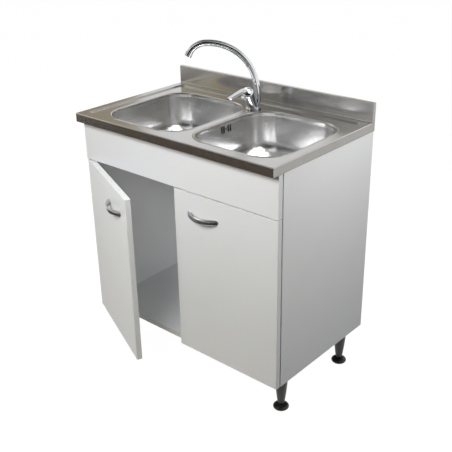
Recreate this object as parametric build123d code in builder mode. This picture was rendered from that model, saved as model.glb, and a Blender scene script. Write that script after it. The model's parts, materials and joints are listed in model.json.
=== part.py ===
from build123d import *

import os
from math import cos, radians, sin, sqrt

os.makedirs("parts", exist_ok=True)

# A free-standing kitchen sink unit: a pressed steel double-bowl top with an upstand and a lever tap,
# laid on a white board cabinet with two doors, on four levelling legs. The origin is on the floor
# under the middle of the sink top. The front is -Y, and sizes are in millimetres.

# Whole unit
unit_width = 800.0
unit_depth = 500.0
top_height = 850.0

# Steel top
steel = 1.0
edge_drop = 28.0
bend_radius = 2.5
splash_height = 61.0
splash_thick = 15.0
splash_lip = 12.0
recess_depth = 4.0
recess_side = 26.0
recess_front = 32.0
recess_rear = 20.0
recess_corner = 14.0
recess_slope = 40.0

# Bowls
bowl_left_margin = 67.0
bowl_right_margin = 40.0
bowl_gap = 33.0
bowl_front_margin = 49.0
bowl_rear_margin = 90.0
bowl_corner = 85.0
bowl_depth = 150.0
bowl_draft = 5.0
bowl_floor_radius = 38.0
bead_width = 9.0
bead_radius = 4.8
bead_rise = 1.4
bead_skirt = 10.0
drain_seat = 4.0
drain_seat_radius = 58.5
drain_hole_radius = 44.0

# Overflow slots in the right bowl
overflow_drop = 25.0
overflow_shift = 9.0
overflow_slot_width = 5.0
overflow_slot_height = 22.0
overflow_pitch = 10.0
overflow_slots_each_side = 2
overflow_screw_radius = 3.0
overflow_cut = 8.0
overflow_box_length = 60.0
overflow_box_height = 34.0
overflow_box_depth = 14.0
overflow_box_wall = 2.0
overflow_box_corner = 8.0
overflow_spigot_radius = 6.5
overflow_spigot_length = 16.0
overflow_spigot_root = 11.0
overflow_bend = 30.0
overflow_slip = 8.0

# Cabinet boards
board = 18.0
back_board = 3.0
side_clear = 1.0
rear_inset = 1.0
leg_height = 131.0
front_setback = 28.0
fascia_bottom_drop = 161.0
fascia_top_clear = 5.0
front_gap = 3.0
door_gap = 3.0
door_side_inset = 1.0
door_edge_radius = 2.0
back_rebate = 9.0
rail_height = 100.0
pipe_cut_width = 240.0
pipe_cut_height = 200.0
dowel_radius = 4.0
dowel_length = 30.0
dowel_depth = 12.0
dowel_inset = 60.0
dowel_from_rail_edge = 25.0

# Steel angles behind the fascia, and the clips that hold the sink top down
angle_thick = 2.0
angle_leg = 36.0
angle_height = 30.0
angle_from_end = 15.0
clip_width = 25.0
clip_reach = 15.0
clip_drop = 30.0

# Doors: the rest position is the photographed one, with the left door ajar
left_door_angle = 24.5
hinge_from_end = 85.0
pin_from_edge = 8.5
pin_from_back = 9.5
pin_radius = 1.25
pin_fit = 0.05
eye_radius = 2.5
cup_radius = 17.5
cup_wall = 0.6
cup_depth = 13.0
cup_edge = 3.5
cup_flange = 1.0
flange_height = 58.0
flange_width = 24.0
flange_corner = 8.0
flange_screw_pitch = 45.0
arm_width = 12.0
arm_thick = 2.5
arm_offset = 12.0
arm_length = 62.0
plate_thick = 3.5
plate_from_front = 37.0
plate_length = 30.0
plate_height = 50.0
plate_corner = 3.0
plate_bar_height = 16.0
plate_screw_pitch = 32.0
screw_radius = 2.0
screw_head_radius = 3.6
screw_head = 2.0
flange_screw_head = 1.0
screw_length = 12.0

# Handles
handle_length = 124.0
handle_bow = 27.0
handle_band = 17.0
handle_thick = 6.0
handle_screw_pitch = 96.0
handle_from_edge = 53.5
handle_from_top = 68.0
handle_foot = 18.0
handle_screw_grip = 5.0
handle_end_flat = 0.2
bumper_radius = 5.0
bumper_from_edge = 20.0
bumper_clear = 0.3

# Legs
leg_inset_x = 42.0
leg_inset_front = 106.0
leg_inset_rear = 66.0
socket_radius = 30.0
socket_height = 8.0
socket_rim = 3.0
leg_top_radius = 21.0
leg_waist_radius = 17.0
leg_neck_radius = 10.5
neck_gap = 1.0
foot_radius = 25.5
foot_sole_radius = 20.0
foot_shoulder_radius = 19.0
foot_shoulder_drop = 2.5
foot_height = 17.0
stem_radius = 5.0
stem_length = 60.0
stem_fit = 0.05
stem_clear = 3.0

# Tap
tap_from_bowls = 17.0
tap_base_radius = 25.0
tap_base_height = 7.0
tap_lean = 27.0
tap_reach = 28.0
tap_rise = 54.0
tap_column_radius = 19.5
tap_neck_radius = 16.5
nut_sphere_radius = 19.6
lever_inner_radius = 20.0
lever_outer_radius = 22.8
lever_rim_tilt = 12.5
lever_rim_rise = 5.6
lever_reach = 94.0
lever_root_width = 30.0
lever_tip_width = 19.0
socket_back = 20.0
socket_rise = 44.0
socket_outer = 13.5
socket_knee = 18.0
tap_hole_radius = 17.5
tap_shank_radius = 16.0
tap_shank_length = 42.0
tap_seal = 1.0
backnut_radius = 25.0
backnut_height = 12.0
inlet_radius = 4.25
inlet_depth = 15.0
inlet_pitch = 14.0
column_top_drop = 2.0
cartridge_radius = 16.0
cartridge_depth = 34.0
cartridge_top_drop = 4.0
nut_top_rise = 10.0
nut_bore_clear = 0.3
carrier_radius = 11.0
carrier_depth = 20.0
carrier_rise = 6.0
carrier_slot = 8.6
carrier_slot_depth = 8.0
tap_fit = 0.05
spindle_radius = 4.0
spindle_below = 5.0
spindle_above = 18.5
spindle_pin_radius = 2.0
lever_boss_radius = 7.0
lever_boss_start = 16.5
lever_boss_sink = 1.0
lever_tip_rise = 7.5
lever_tip_thick = 6.5
lever_root_floor = 3.0
lever_edge = 1.8
spout_base_radius = 12.5
spout_radius = 10.0
spout_wall = 1.5
spout_heading = 226.0
spout_spigot_radius = 9.0
spout_spigot_length = 20.0
spout_lean_angle = 14.5
spout_lean_radius = 205.0
spout_crest_angle = 92.0
spout_crest_radius = 158.0
spout_fall_angle = 150.0
spout_fall_radius = 58.0
aerator_radius = 11.5
aerator_length = 12.0
aerator_recess = 3.0

# Wastes and pipes
waste_radius = 57.0
strainer_flange = 1.5
strainer_radius = 42.0
strainer_depth = 38.0
strainer_sheet = 0.8
strainer_hole_radius = 4.5
strainer_hole_circle = 24.0
strainer_holes = 6
waste_screw_radius = 3.0
waste_screw_head_radius = 5.0
waste_screw_head = 2.5
gasket = 3.0
waste_flange = 4.0
waste_bore = 44.0
waste_sump = 10.0
waste_cone = 8.0
waste_rib = 3.0
waste_rib_height = 4.0
waste_boss_radius = 6.0
waste_drop = 68.0
plug_clear = 0.7
plug_lift_clear = 0.3
plug_sheet = 1.5
plug_rim_radius = 49.0
plug_stem_radius = 3.0
plug_knob_radius = 9.0
plug_knob_height = 8.0
plug_knob_rise = 2.0
tail_radius = 20.0
pipe_wall = 2.0
link_drop = 34.0
link_straight = 4.0
tee_reach = 40.0
trap_radius = 34.0
trap_height = 150.0
trap_split = 74.0
trap_wall = 3.0
trap_chamfer = 8.0
trap_grip = 4.0
trap_grip_height = 18.0
outlet_drop = 40.0
outlet_reach = 52.0
outlet_inset = 24.0
outlet_spigot = 40.0
outlet_bead = 2.0
outlet_bead_length = 3.0
nut_wall = 6.0
nut_height = 22.0
nut_sides = 8
overflow_pipe_wall = 2.0
overflow_inlet_drop = 26.0
overflow_inlet_reach = 57.0

# ---- planes and places worked out from the sizes above ----
half_width = unit_width / 2
front = -unit_depth / 2
rear = unit_depth / 2
near = 0.1
carcass_half = half_width - steel - side_clear
inner_half = carcass_half - board
carcass_rear = rear - rear_inset
back_face = carcass_rear - back_board
front_face = front + front_setback
front_back = front_face + board
carcass_front = front_back + door_gap
deck_under = top_height - steel
recess_top = top_height - recess_depth
recess_under = recess_top - steel
splash_front = rear - splash_thick
splash_top = top_height + splash_height
weld_level = recess_top - bead_skirt
bowl_floor = recess_top - bowl_depth
bowl_width = (unit_width - bowl_left_margin - bowl_right_margin - bowl_gap) / 2
bowl_length = unit_depth - bowl_front_margin - bowl_rear_margin
bowl_shift = (bowl_left_margin - bowl_right_margin) / 2
bowl_y = front + bowl_front_margin + bowl_length / 2
bowl_x = {
    "left": bowl_shift - (bowl_gap + bowl_width) / 2,
    "right": bowl_shift + (bowl_gap + bowl_width) / 2,
}
sides = (("left", -1), ("right", 1))
fascia_bottom = top_height - fascia_bottom_drop
fascia_top = recess_under - fascia_top_clear
door_top = fascia_bottom - front_gap
door_bottom = leg_height
door_outer = carcass_half - door_side_inset
door_inner = front_gap / 2


def label_and_write(piece, name):
    piece.part.label = name
    export_step(piece.part, f"parts/{name}.step")


# ---- steel top: deck, turned-down edges and upstand folded from one sheet ----
def fold_outline(inset):
    """The closed side profile of the top, drawn on a YZ plane and set in by the sheet's thickness."""
    bottom = top_height - edge_drop
    lip_end = splash_top - splash_lip
    deck = top_height - inset
    with BuildLine() as line:
        if inset == 0:
            Polyline(
                (front, bottom),
                (front, deck),
                (splash_front, deck),
                (splash_front, splash_top),
                (rear, splash_top),
                (rear, bottom),
                close=True,
            )
        else:
            Polyline(
                (front + inset, bottom),
                (front + inset, deck),
                (splash_front + inset, deck),
                (splash_front + inset, splash_top - inset),
                (rear - inset, splash_top - inset),
                (rear - inset, lip_end),
                (rear, lip_end),
                (rear, bottom),
                close=True,
            )
    return line.line


def bead_profile():
    """Section of the raised bead round a bowl: x is outwards from the bowl, y is up from the recess."""
    inner = bead_radius - steel
    centre = bead_rise - bead_radius
    with BuildLine() as line:
        Line((0, -bead_skirt), (0, centre))
        RadiusArc((0, centre), (bead_radius, bead_rise), bead_radius)
        Line((bead_radius, bead_rise), (bead_width, 0))
        Line((bead_width, 0), (bead_width, -steel))
        Line((bead_width, -steel), (bead_radius, bead_rise - steel))
        RadiusArc((bead_radius, bead_rise - steel), (steel, centre), -inner)
        Line((steel, centre), (steel, -bead_skirt))
        Line((steel, -bead_skirt), (0, -bead_skirt))
    return line.line


recess_width = unit_width - 2 * recess_side
recess_length = unit_depth - splash_thick - recess_front - recess_rear
recess_y = front + recess_front + recess_length / 2
tap_x = bowl_shift
tap_y = rear - bowl_rear_margin - tap_from_bowls

with BuildPart() as sink_top:
    with BuildSketch(Plane.YZ.offset(-half_width)):
        with BuildLine():
            add(fold_outline(0))
        make_face()
    extrude(amount=unit_width)
    lengthwise = sink_top.edges().filter_by(Axis.X)
    deck_edges = sink_top.edges().filter_by(Axis.Y).filter_by(lambda e: abs(e.center().Z - top_height) < near)
    front_edges = lengthwise.filter_by(lambda e: abs(e.center().Y - front) < near).group_by(Axis.Z)[-1]
    corners = sink_top.edges().filter_by(Axis.Z).group_by(Axis.Y)[0]
    crest = lengthwise.group_by(Axis.Z)[-1]
    fillet(deck_edges + front_edges + corners + crest, bend_radius)
    with BuildSketch(Plane.YZ.offset(-half_width + steel)):
        with BuildLine():
            add(fold_outline(steel))
        make_face()
    extrude(amount=unit_width - 2 * steel, mode=Mode.SUBTRACT)
    with BuildSketch(Plane.XY.offset(recess_under)):
        with Locations((0, recess_y)):
            RectangleRounded(recess_width + 2 * steel, recess_length + 2 * steel, recess_corner + steel)
    extrude(amount=recess_depth)
    with BuildSketch(Plane.XY.offset(top_height)):
        with Locations((0, recess_y)):
            RectangleRounded(recess_width, recess_length, recess_corner)
    extrude(amount=-recess_depth, taper=recess_slope, mode=Mode.SUBTRACT)
    with BuildSketch(Plane.XY.offset(recess_top + bead_rise)):
        with Locations(*[(bowl_x[side], bowl_y) for side, sign in sides]):
            RectangleRounded(
                bowl_width + 2 * bead_width, bowl_length + 2 * bead_width, bowl_corner + bead_width
            )
        with Locations((tap_x, tap_y)):
            Circle(tap_hole_radius)
    extrude(amount=-(bead_rise + 2 * steel + recess_depth), mode=Mode.SUBTRACT)
    for side, sign in sides:
        with BuildSketch(Plane.XY.offset(recess_top), mode=Mode.PRIVATE) as mouth:
            with Locations((bowl_x[side], bowl_y)):
                RectangleRounded(bowl_width, bowl_length, bowl_corner)
        start = Vector(bowl_x[side] + bowl_width / 2, bowl_y, recess_top)
        with BuildSketch(Plane(origin=start, x_dir=(1, 0, 0), z_dir=(0, -1, 0))) as section:
            with BuildLine():
                add(bead_profile())
            make_face()
        sweep(sections=section.sketch, path=mouth.sketch.face().outer_wire())
label_and_write(sink_top, "sink_top")


# ---- bowls, welded under the beads ----
def bowl_form(inset, seat_inset):
    """The solid outer or inner form of a bowl at the origin of X and Y, from the weld down."""
    depth = weld_level - bowl_floor - inset + steel
    with BuildPart() as form:
        with BuildSketch(Plane.XY.offset(weld_level)):
            growth = steel - inset
            RectangleRounded(bowl_width + 2 * growth, bowl_length + 2 * growth, bowl_corner + growth)
        extrude(amount=-depth, taper=bowl_draft)
        fillet(form.faces().sort_by(Axis.Z)[0].edges(), bowl_floor_radius + steel - inset)
        with BuildSketch(Plane.XY.offset(weld_level - depth)):
            Circle(drain_seat_radius + seat_inset)
        extrude(amount=-drain_seat)
    return form.part


bowl_outside = bowl_form(0, steel)
bowl_inside = bowl_form(steel, 0)
for side, sign in sides:
    with BuildPart() as bowl:
        with Locations((bowl_x[side], bowl_y)):
            add(bowl_outside)
            add(bowl_inside, mode=Mode.SUBTRACT)
        with BuildSketch(Plane.XY.offset(bowl_floor)):
            with Locations((bowl_x[side], bowl_y)):
                Circle(drain_hole_radius)
        extrude(amount=-(drain_seat + 2 * steel), mode=Mode.SUBTRACT)
        if side == "right":
            wall_x = bowl_x[side] - bowl_width / 2
            overflow_place = (bowl_y + overflow_shift, recess_top - overflow_drop)
            steps = [n * overflow_pitch for n in range(1, overflow_slots_each_side + 1)]
            with BuildSketch(Plane.YZ.offset(wall_x)):
                with Locations(overflow_place):
                    with Locations(*[(end * step, 0) for end in (-1, 1) for step in steps]):
                        SlotOverall(overflow_slot_height, overflow_slot_width, rotation=90)
                    Circle(overflow_screw_radius)
            extrude(amount=overflow_cut, both=True, mode=Mode.SUBTRACT)
    label_and_write(bowl, f"{side}_bowl")


# ---- cabinet boards ----
panel_length = carcass_rear - carcass_front
panel_y = (carcass_rear + carcass_front) / 2
side_height = deck_under - leg_height
side_z = leg_height + side_height / 2
rail_y = back_face - board / 2
bottom_length = back_face - carcass_front
bottom_y = (back_face + carcass_front) / 2
dowel_places = [
    (carcass_front + dowel_inset, leg_height + board / 2),
    (back_face - dowel_inset, leg_height + board / 2),
    (rail_y, deck_under - dowel_from_rail_edge),
    (rail_y, deck_under - rail_height + dowel_from_rail_edge),
]
hinge_heights = (door_bottom + hinge_from_end, door_top - hinge_from_end)
pin_x = door_outer - pin_from_edge
pin_y = front_back - pin_from_back
plate_y = carcass_front + plate_from_front
plate_screws = [
    (plate_y, height + end * plate_screw_pitch / 2) for height in hinge_heights for end in (-1, 1)
]

for side, sign in sides:
    inner_face = Plane.YZ.offset(sign * inner_half)
    with BuildPart() as side_panel:
        with BuildSketch(inner_face):
            with Locations((panel_y, side_z)):
                Rectangle(panel_length, side_height)
        extrude(amount=sign * board)
        with BuildSketch(inner_face):
            with Locations((carcass_rear - back_board / 2, side_z)):
                Rectangle(back_board, side_height)
        extrude(amount=sign * back_rebate, mode=Mode.SUBTRACT)
        with BuildSketch(inner_face):
            with Locations(*dowel_places):
                Circle(dowel_radius)
        extrude(amount=sign * dowel_depth, mode=Mode.SUBTRACT)
        with BuildSketch(inner_face):
            with Locations(*plate_screws):
                Circle(screw_radius)
        extrude(amount=sign * (screw_length - plate_thick), mode=Mode.SUBTRACT)
    label_and_write(side_panel, f"{side}_side_panel")

with BuildPart() as bottom_panel:
    with BuildSketch(Plane.XY.offset(leg_height)):
        with Locations((0, bottom_y)):
            Rectangle(2 * inner_half, bottom_length)
    extrude(amount=board)
    for side, sign in sides:
        with BuildSketch(Plane.YZ.offset(sign * inner_half)):
            with Locations(*dowel_places[:2]):
                Circle(dowel_radius)
        extrude(amount=-sign * (dowel_length - dowel_depth), mode=Mode.SUBTRACT)
label_and_write(bottom_panel, "bottom_panel")

with BuildPart() as rear_rail:
    with BuildSketch(Plane.XY.offset(deck_under - rail_height)):
        with Locations((0, rail_y)):
            Rectangle(2 * inner_half, board)
    extrude(amount=rail_height)
    for side, sign in sides:
        with BuildSketch(Plane.YZ.offset(sign * inner_half)):
            with Locations(*dowel_places[2:]):
                Circle(dowel_radius)
        extrude(amount=-sign * (dowel_length - dowel_depth), mode=Mode.SUBTRACT)
label_and_write(rear_rail, "rear_rail")

with BuildPart() as wood_dowels:
    for side, sign in sides:
        with BuildSketch(Plane.YZ.offset(sign * (inner_half + dowel_depth))):
            with Locations(*dowel_places):
                Circle(dowel_radius)
        extrude(amount=-sign * dowel_length)
label_and_write(wood_dowels, "wood_dowels")

seat_top = bowl_floor - drain_seat
seat_under = seat_top - steel
tail_bottom = seat_under - gasket - waste_flange - waste_drop
link_z = tail_bottom - link_drop
trap_top = link_z - link_drop - nut_height / 2
outlet_z = trap_top - outlet_drop

with BuildPart() as back_panel:
    with BuildSketch(Plane.XZ.offset(-carcass_rear)):
        with Locations((0, side_z)):
            Rectangle(2 * (inner_half + back_rebate), side_height)
        with Locations((bowl_x["right"], outlet_z)):
            RectangleRounded(pipe_cut_width, pipe_cut_height, board / 2, mode=Mode.SUBTRACT)
    extrude(amount=back_board)
label_and_write(back_panel, "back_panel")

with BuildPart() as fascia_panel:
    with BuildSketch(Plane.XY.offset(fascia_bottom)):
        with Locations((0, front_face + board / 2)):
            Rectangle(2 * door_outer, board)
    extrude(amount=fascia_top - fascia_bottom)
    fillet(fascia_panel.edges().filter_by(Axis.Z), door_edge_radius)
label_and_write(fascia_panel, "fascia_panel")

# ---- steel angles that hold the fascia, and clips that hold the sink top down ----
with BuildPart() as fascia_brackets:
    for side, sign in sides:
        for base in (fascia_bottom + angle_from_end, fascia_top - angle_from_end - angle_height):
            with BuildSketch(Plane.XY.offset(base)):
                with Locations((sign * (inner_half - angle_thick / 2), front_back + angle_leg / 2)):
                    Rectangle(angle_thick, angle_leg)
                with Locations((sign * (inner_half - angle_leg / 2), front_back + angle_thick / 2)):
                    Rectangle(angle_leg, angle_thick)
            extrude(amount=angle_height)
label_and_write(fascia_brackets, "fascia_brackets")

clip_places = (carcass_front + angle_leg + clip_width, back_face - board - clip_width)
with BuildPart() as sink_clips:
    for side, sign in sides:
        for place in clip_places:
            with BuildSketch(Plane.XZ.offset(-place)):
                with Locations((sign * (inner_half - angle_thick / 2), recess_under - clip_drop / 2)):
                    Rectangle(angle_thick, clip_drop)
                with Locations((sign * (inner_half - clip_reach / 2), recess_under - angle_thick / 2)):
                    Rectangle(clip_reach, angle_thick)
            extrude(amount=clip_width / 2, both=True)
label_and_write(sink_clips, "sink_clips")

# ---- legs ----
leg_rows = (("front", front + leg_inset_front), ("rear", rear - leg_inset_rear))
leg_places = [(sign * (half_width - leg_inset_x), y) for side, sign in sides for row, y in leg_rows]
column_bottom = foot_height + neck_gap
column_top = leg_height - socket_height
stem_top = column_bottom + stem_length


def upright(place):
    """The plane of a turned piece's profile: x is the radius, and y is the height above the floor."""
    return Plane(origin=(place[0], place[1], 0), x_dir=(1, 0, 0), z_dir=(0, -1, 0))


def turned(profile_points, plane):
    """A straight-sided turned piece: (radius, height) points spun about the plane's y axis."""
    with BuildPart() as piece:
        with BuildSketch(plane):
            with BuildLine():
                Polyline(*profile_points, close=True)
            make_face()
        revolve(axis=Axis(plane.origin, plane.y_dir))
    return piece.part


def leg_column(place):
    """One moulded leg: it flares upwards from a narrow neck and is bored for the foot's stem."""
    plane = upright(place)
    bore = stem_radius + stem_fit
    bore_top = stem_top + stem_clear
    with BuildPart() as column:
        with BuildSketch(plane):
            with BuildLine():
                waist = (leg_waist_radius, (column_bottom + column_top) / 2)
                flare = ThreePointArc((leg_neck_radius, column_bottom), waist, (leg_top_radius, column_top))
                Polyline(flare @ 1, (0, column_top), (0, bore_top), (bore, bore_top))
                Polyline((bore, bore_top), (bore, column_bottom), flare @ 0)
            make_face()
        revolve(axis=Axis(plane.origin, plane.y_dir))
    return column.part


def levelling_foot(place):
    """The rounded pad and the plain core of its threaded stem."""
    plane = upright(place)
    shoulder = (foot_shoulder_radius, foot_height - foot_shoulder_drop)
    with BuildPart() as foot:
        with BuildSketch(plane):
            with BuildLine():
                ThreePointArc((foot_sole_radius, 0), (foot_radius, shoulder[1] / 2), shoulder)
                Polyline(shoulder, (leg_neck_radius, foot_height), (stem_radius, foot_height))
                Polyline((stem_radius, foot_height), (stem_radius, stem_top), (0, stem_top))
                Polyline((0, stem_top), (0, 0), (foot_sole_radius, 0))
            make_face()
        revolve(axis=Axis(plane.origin, plane.y_dir))
    return foot.part


socket_points = (
    (0, leg_height),
    (socket_radius, leg_height),
    (socket_radius, leg_height - socket_rim),
    (leg_top_radius + socket_rim, column_top),
    (0, column_top),
)
sockets = [turned(socket_points, upright(place)) for place in leg_places]
with BuildPart() as leg_sockets:
    add(sockets)
label_and_write(leg_sockets, "leg_sockets")

columns = [leg_column(place) for place in leg_places]
with BuildPart() as leg_columns:
    add(columns)
label_and_write(leg_columns, "leg_columns")

for side, sign in sides:
    for row, y in leg_rows:
        pad_and_stem = levelling_foot((sign * (half_width - leg_inset_x), y))
        with BuildPart() as leg_foot:
            add(pad_and_stem)
        label_and_write(leg_foot, f"foot_{row}_{side}")

# ---- doors, each drawn from its hinge pin: u runs along the door, v towards its front face ----
door_width = door_outer - door_inner
door_height = door_top - door_bottom
open_angle = {"left": left_door_angle, "right": 0.0}
cup_u = cup_edge + cup_radius - pin_from_edge
pin_half = sqrt(cup_radius**2 - (cup_u + pin_radius) ** 2) - pin_fit
handle_u = door_width - pin_from_edge - handle_from_edge - handle_length / 2
handle_z = door_top - handle_from_top
bumper_u = (door_width - pin_from_edge - bumper_from_edge, door_width / 2)


def door_directions(side, sign):
    """Unit vectors along the door from its pin, and out of its front face."""
    angle = radians(open_angle[side])
    along = Vector(-sign * cos(angle), -sin(angle), 0)
    out = Vector(sign * sin(angle), -cos(angle), 0)
    return along, out


def door_point(side, sign, u, v, z):
    along, out = door_directions(side, sign)
    return Vector(sign * pin_x, pin_y, z) + along * u + out * v


def door_level(side, sign, z):
    """The horizontal plane at a height, with x along the door; y is sign * v."""
    along, out = door_directions(side, sign)
    return Plane(origin=door_point(side, sign, 0, 0, z), x_dir=along, z_dir=(0, 0, 1))


def door_face(side, sign, u, v, z):
    """The plane of the door's face, looking out of its front, with x along the door."""
    along, out = door_directions(side, sign)
    return Plane(origin=door_point(side, sign, u, v, z), x_dir=along, z_dir=out)


for side, sign in sides:
    back_v = -pin_from_back
    front_v = board - pin_from_back
    screw_places = [(end * handle_screw_pitch / 2, 0) for end in (-1, 1)]
    flange_screws = [(0, end * flange_screw_pitch / 2) for end in (-1, 1)]

    with BuildPart() as door_panel:
        with BuildSketch(door_level(side, sign, door_bottom)):
            with Locations((door_width / 2 - pin_from_edge, sign * (board / 2 - pin_from_back))):
                Rectangle(door_width, board)
        extrude(amount=door_height)
        fillet(door_panel.edges().filter_by(Axis.Z), door_edge_radius)
        for height in hinge_heights:
            with BuildSketch(door_face(side, sign, cup_u, back_v, height)):
                Circle(cup_radius)
            extrude(amount=cup_depth, mode=Mode.SUBTRACT)
            with BuildSketch(door_face(side, sign, cup_u, back_v, height)):
                with Locations(*flange_screws):
                    Circle(screw_radius)
            extrude(amount=screw_length - cup_flange, mode=Mode.SUBTRACT)
        with BuildSketch(door_face(side, sign, handle_u, back_v, handle_z)):
            with Locations(*screw_places):
                Circle(screw_radius)
        extrude(amount=board, mode=Mode.SUBTRACT)
    label_and_write(door_panel, f"{side}_door_panel")

    with BuildPart() as hinge_pins:
        for height in hinge_heights:
            with BuildSketch(door_level(side, sign, height)):
                Circle(pin_radius)
            extrude(amount=pin_half, both=True)
    label_and_write(hinge_pins, f"{side}_hinge_pins")

    with BuildPart() as hinge_cups:
        for height in hinge_heights:
            with BuildSketch(door_face(side, sign, cup_u, back_v, height)):
                Circle(cup_radius)
            extrude(amount=cup_depth)
            with BuildSketch(door_face(side, sign, cup_u, back_v, height)):
                RectangleRounded(flange_width, flange_height, flange_corner)
                Circle(cup_radius)
                with Locations(*flange_screws):
                    Circle(screw_radius, mode=Mode.SUBTRACT)
            extrude(amount=-cup_flange)
            with BuildSketch(door_face(side, sign, cup_u, back_v - cup_flange, height)):
                Circle(cup_radius - cup_wall)
            extrude(amount=cup_depth + cup_flange - cup_wall, mode=Mode.SUBTRACT)
        add(hinge_pins.part, mode=Mode.SUBTRACT)
    label_and_write(hinge_cups, f"{side}_hinge_cups")

    with BuildPart() as hinge_arms:
        for height in hinge_heights:
            closed = Plane(origin=(sign * pin_x, pin_y, height), x_dir=(-sign, 0, 0), z_dir=(0, 0, 1))
            reach = arm_offset + arm_thick
            with BuildSketch(closed.offset(-arm_width / 2)):
                Circle(eye_radius)
                with Locations((reach / 2, 0)):
                    Rectangle(reach, arm_thick)
                with Locations((arm_offset + arm_thick / 2, sign * (arm_thick - arm_length) / 2)):
                    Rectangle(arm_thick, arm_length)
                Circle(pin_radius + pin_fit, mode=Mode.SUBTRACT)
            extrude(amount=arm_width)
    label_and_write(hinge_arms, f"{side}_hinge_arms")

    with BuildPart() as handle:
        flat = door_level(side, sign, handle_z - handle_band / 2)
        with BuildSketch(flat):
            with BuildLine():
                half = handle_length / 2
                foot = half - handle_foot
                base = sign * front_v
                crown = sign * (front_v + handle_bow)
                hollow = sign * (front_v + handle_bow - handle_thick)
                ThreePointArc((handle_u - half, base), (handle_u, crown), (handle_u + half, base))
                ThreePointArc((handle_u - foot, base), (handle_u, hollow), (handle_u + foot, base))
                Line((handle_u - half, base), (handle_u - foot, base))
                Line((handle_u + foot, base), (handle_u + half, base))
            make_face()
        extrude(amount=handle_band)
        with BuildSketch(door_face(side, sign, handle_u, front_v, handle_z)):
            RectangleRounded(handle_length, handle_band, handle_band / 2 - handle_end_flat)
        extrude(amount=handle_bow, mode=Mode.INTERSECT)
        with BuildSketch(door_face(side, sign, handle_u, front_v, handle_z)):
            with Locations(*screw_places):
                Circle(screw_radius)
        extrude(amount=handle_screw_grip, mode=Mode.SUBTRACT)
    label_and_write(handle, f"{side}_handle")

    with BuildPart() as door_screws:
        with BuildSketch(door_face(side, sign, handle_u, back_v, handle_z)):
            with Locations(*screw_places):
                Circle(screw_radius)
        extrude(amount=board + handle_screw_grip)
        with BuildSketch(door_face(side, sign, handle_u, back_v, handle_z)):
            with Locations(*screw_places):
                Circle(screw_head_radius)
        extrude(amount=-screw_head)
        for height in hinge_heights:
            with BuildSketch(door_face(side, sign, cup_u, back_v - cup_flange, height)):
                with Locations(*flange_screws):
                    Circle(screw_radius)
            extrude(amount=screw_length)
            with BuildSketch(door_face(side, sign, cup_u, back_v - cup_flange, height)):
                with Locations(*flange_screws):
                    Circle(screw_head_radius)
            extrude(amount=-flange_screw_head)
    label_and_write(door_screws, f"{side}_door_screws")

    with BuildPart() as door_bumpers:
        for u in bumper_u:
            with BuildSketch(door_face(side, sign, u, back_v, door_bottom + board / 2)):
                Circle(bumper_radius)
            extrude(amount=bumper_clear - door_gap)
    label_and_write(door_bumpers, f"{side}_door_bumpers")

with BuildPart() as hinge_plates:
    for side, sign in sides:
        with BuildSketch(Plane.YZ.offset(sign * inner_half)):
            for height in hinge_heights:
                with Locations((plate_y, height)):
                    RectangleRounded(plate_length / 2, plate_height, plate_corner)
                    Rectangle(plate_length, plate_bar_height)
            with Locations(*plate_screws):
                Circle(screw_radius, mode=Mode.SUBTRACT)
        extrude(amount=-sign * plate_thick)
label_and_write(hinge_plates, "hinge_plates")

with BuildPart() as hinge_plate_screws:
    for side, sign in sides:
        with BuildSketch(Plane.YZ.offset(sign * (inner_half - plate_thick))):
            with Locations(*plate_screws):
                Circle(screw_radius)
        extrude(amount=sign * screw_length)
        with BuildSketch(Plane.YZ.offset(sign * (inner_half - plate_thick))):
            with Locations(*plate_screws):
                Circle(screw_head_radius)
        extrude(amount=-sign * screw_head)
label_and_write(hinge_plate_screws, "hinge_plate_screws")

# ---- wastes: a perforated cup through each bowl, with its gasket, body, screw and lift-out plug ----
strainer_top = seat_top + strainer_flange
strainer_inside = strainer_top - strainer_depth
strainer_under = strainer_inside - strainer_sheet
gasket_under = seat_under - gasket
body_under = gasket_under - waste_flange
sump = strainer_under - waste_sump
overflow_inlet_z = body_under - overflow_inlet_drop
plug_radius = strainer_radius - strainer_sheet - plug_clear
plug_floor = strainer_inside + waste_screw_head + plug_lift_clear
plug_rim = strainer_top + plug_lift_clear
knob_top = plug_rim + plug_knob_rise + plug_knob_height

strainer_points = (
    (waste_radius, seat_top),
    (waste_radius, strainer_top),
    (strainer_radius - strainer_sheet, strainer_top),
    (strainer_radius - strainer_sheet, strainer_inside),
    (waste_screw_radius, strainer_inside),
    (waste_screw_radius, strainer_under),
    (strainer_radius, strainer_under),
    (strainer_radius, seat_top),
)
waste_points = (
    (waste_bore, gasket_under),
    (waste_radius, gasket_under),
    (waste_radius, body_under),
    (waste_bore + pipe_wall, body_under),
    (waste_bore + pipe_wall, sump),
    (tail_radius, sump - waste_cone),
    (tail_radius, tail_bottom),
    (tail_radius - pipe_wall, tail_bottom),
    (tail_radius - pipe_wall, sump - waste_cone),
    (waste_bore, sump),
)
plug_points = (
    (0, plug_floor),
    (plug_radius, plug_floor),
    (plug_radius, plug_rim),
    (plug_rim_radius, plug_rim),
    (plug_rim_radius, plug_rim + plug_sheet),
    (plug_radius - plug_sheet, plug_rim + plug_sheet),
    (plug_radius - plug_sheet, plug_floor + plug_sheet),
    (plug_stem_radius, plug_floor + plug_sheet),
    (plug_stem_radius, knob_top - plug_knob_height),
    (plug_knob_radius, knob_top - plug_knob_height),
    (plug_knob_radius, knob_top),
    (0, knob_top),
)
gasket_points = (
    (drain_hole_radius, gasket_under),
    (waste_radius, gasket_under),
    (waste_radius, seat_under),
    (drain_hole_radius, seat_under),
)
screw_points = (
    (0, sump),
    (waste_screw_radius, sump),
    (waste_screw_radius, strainer_inside),
    (waste_screw_head_radius, strainer_inside),
    (waste_screw_head_radius, strainer_inside + waste_screw_head),
    (0, strainer_inside + waste_screw_head),
)
drains = [(bowl_x[side], bowl_y) for side, sign in sides]

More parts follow.
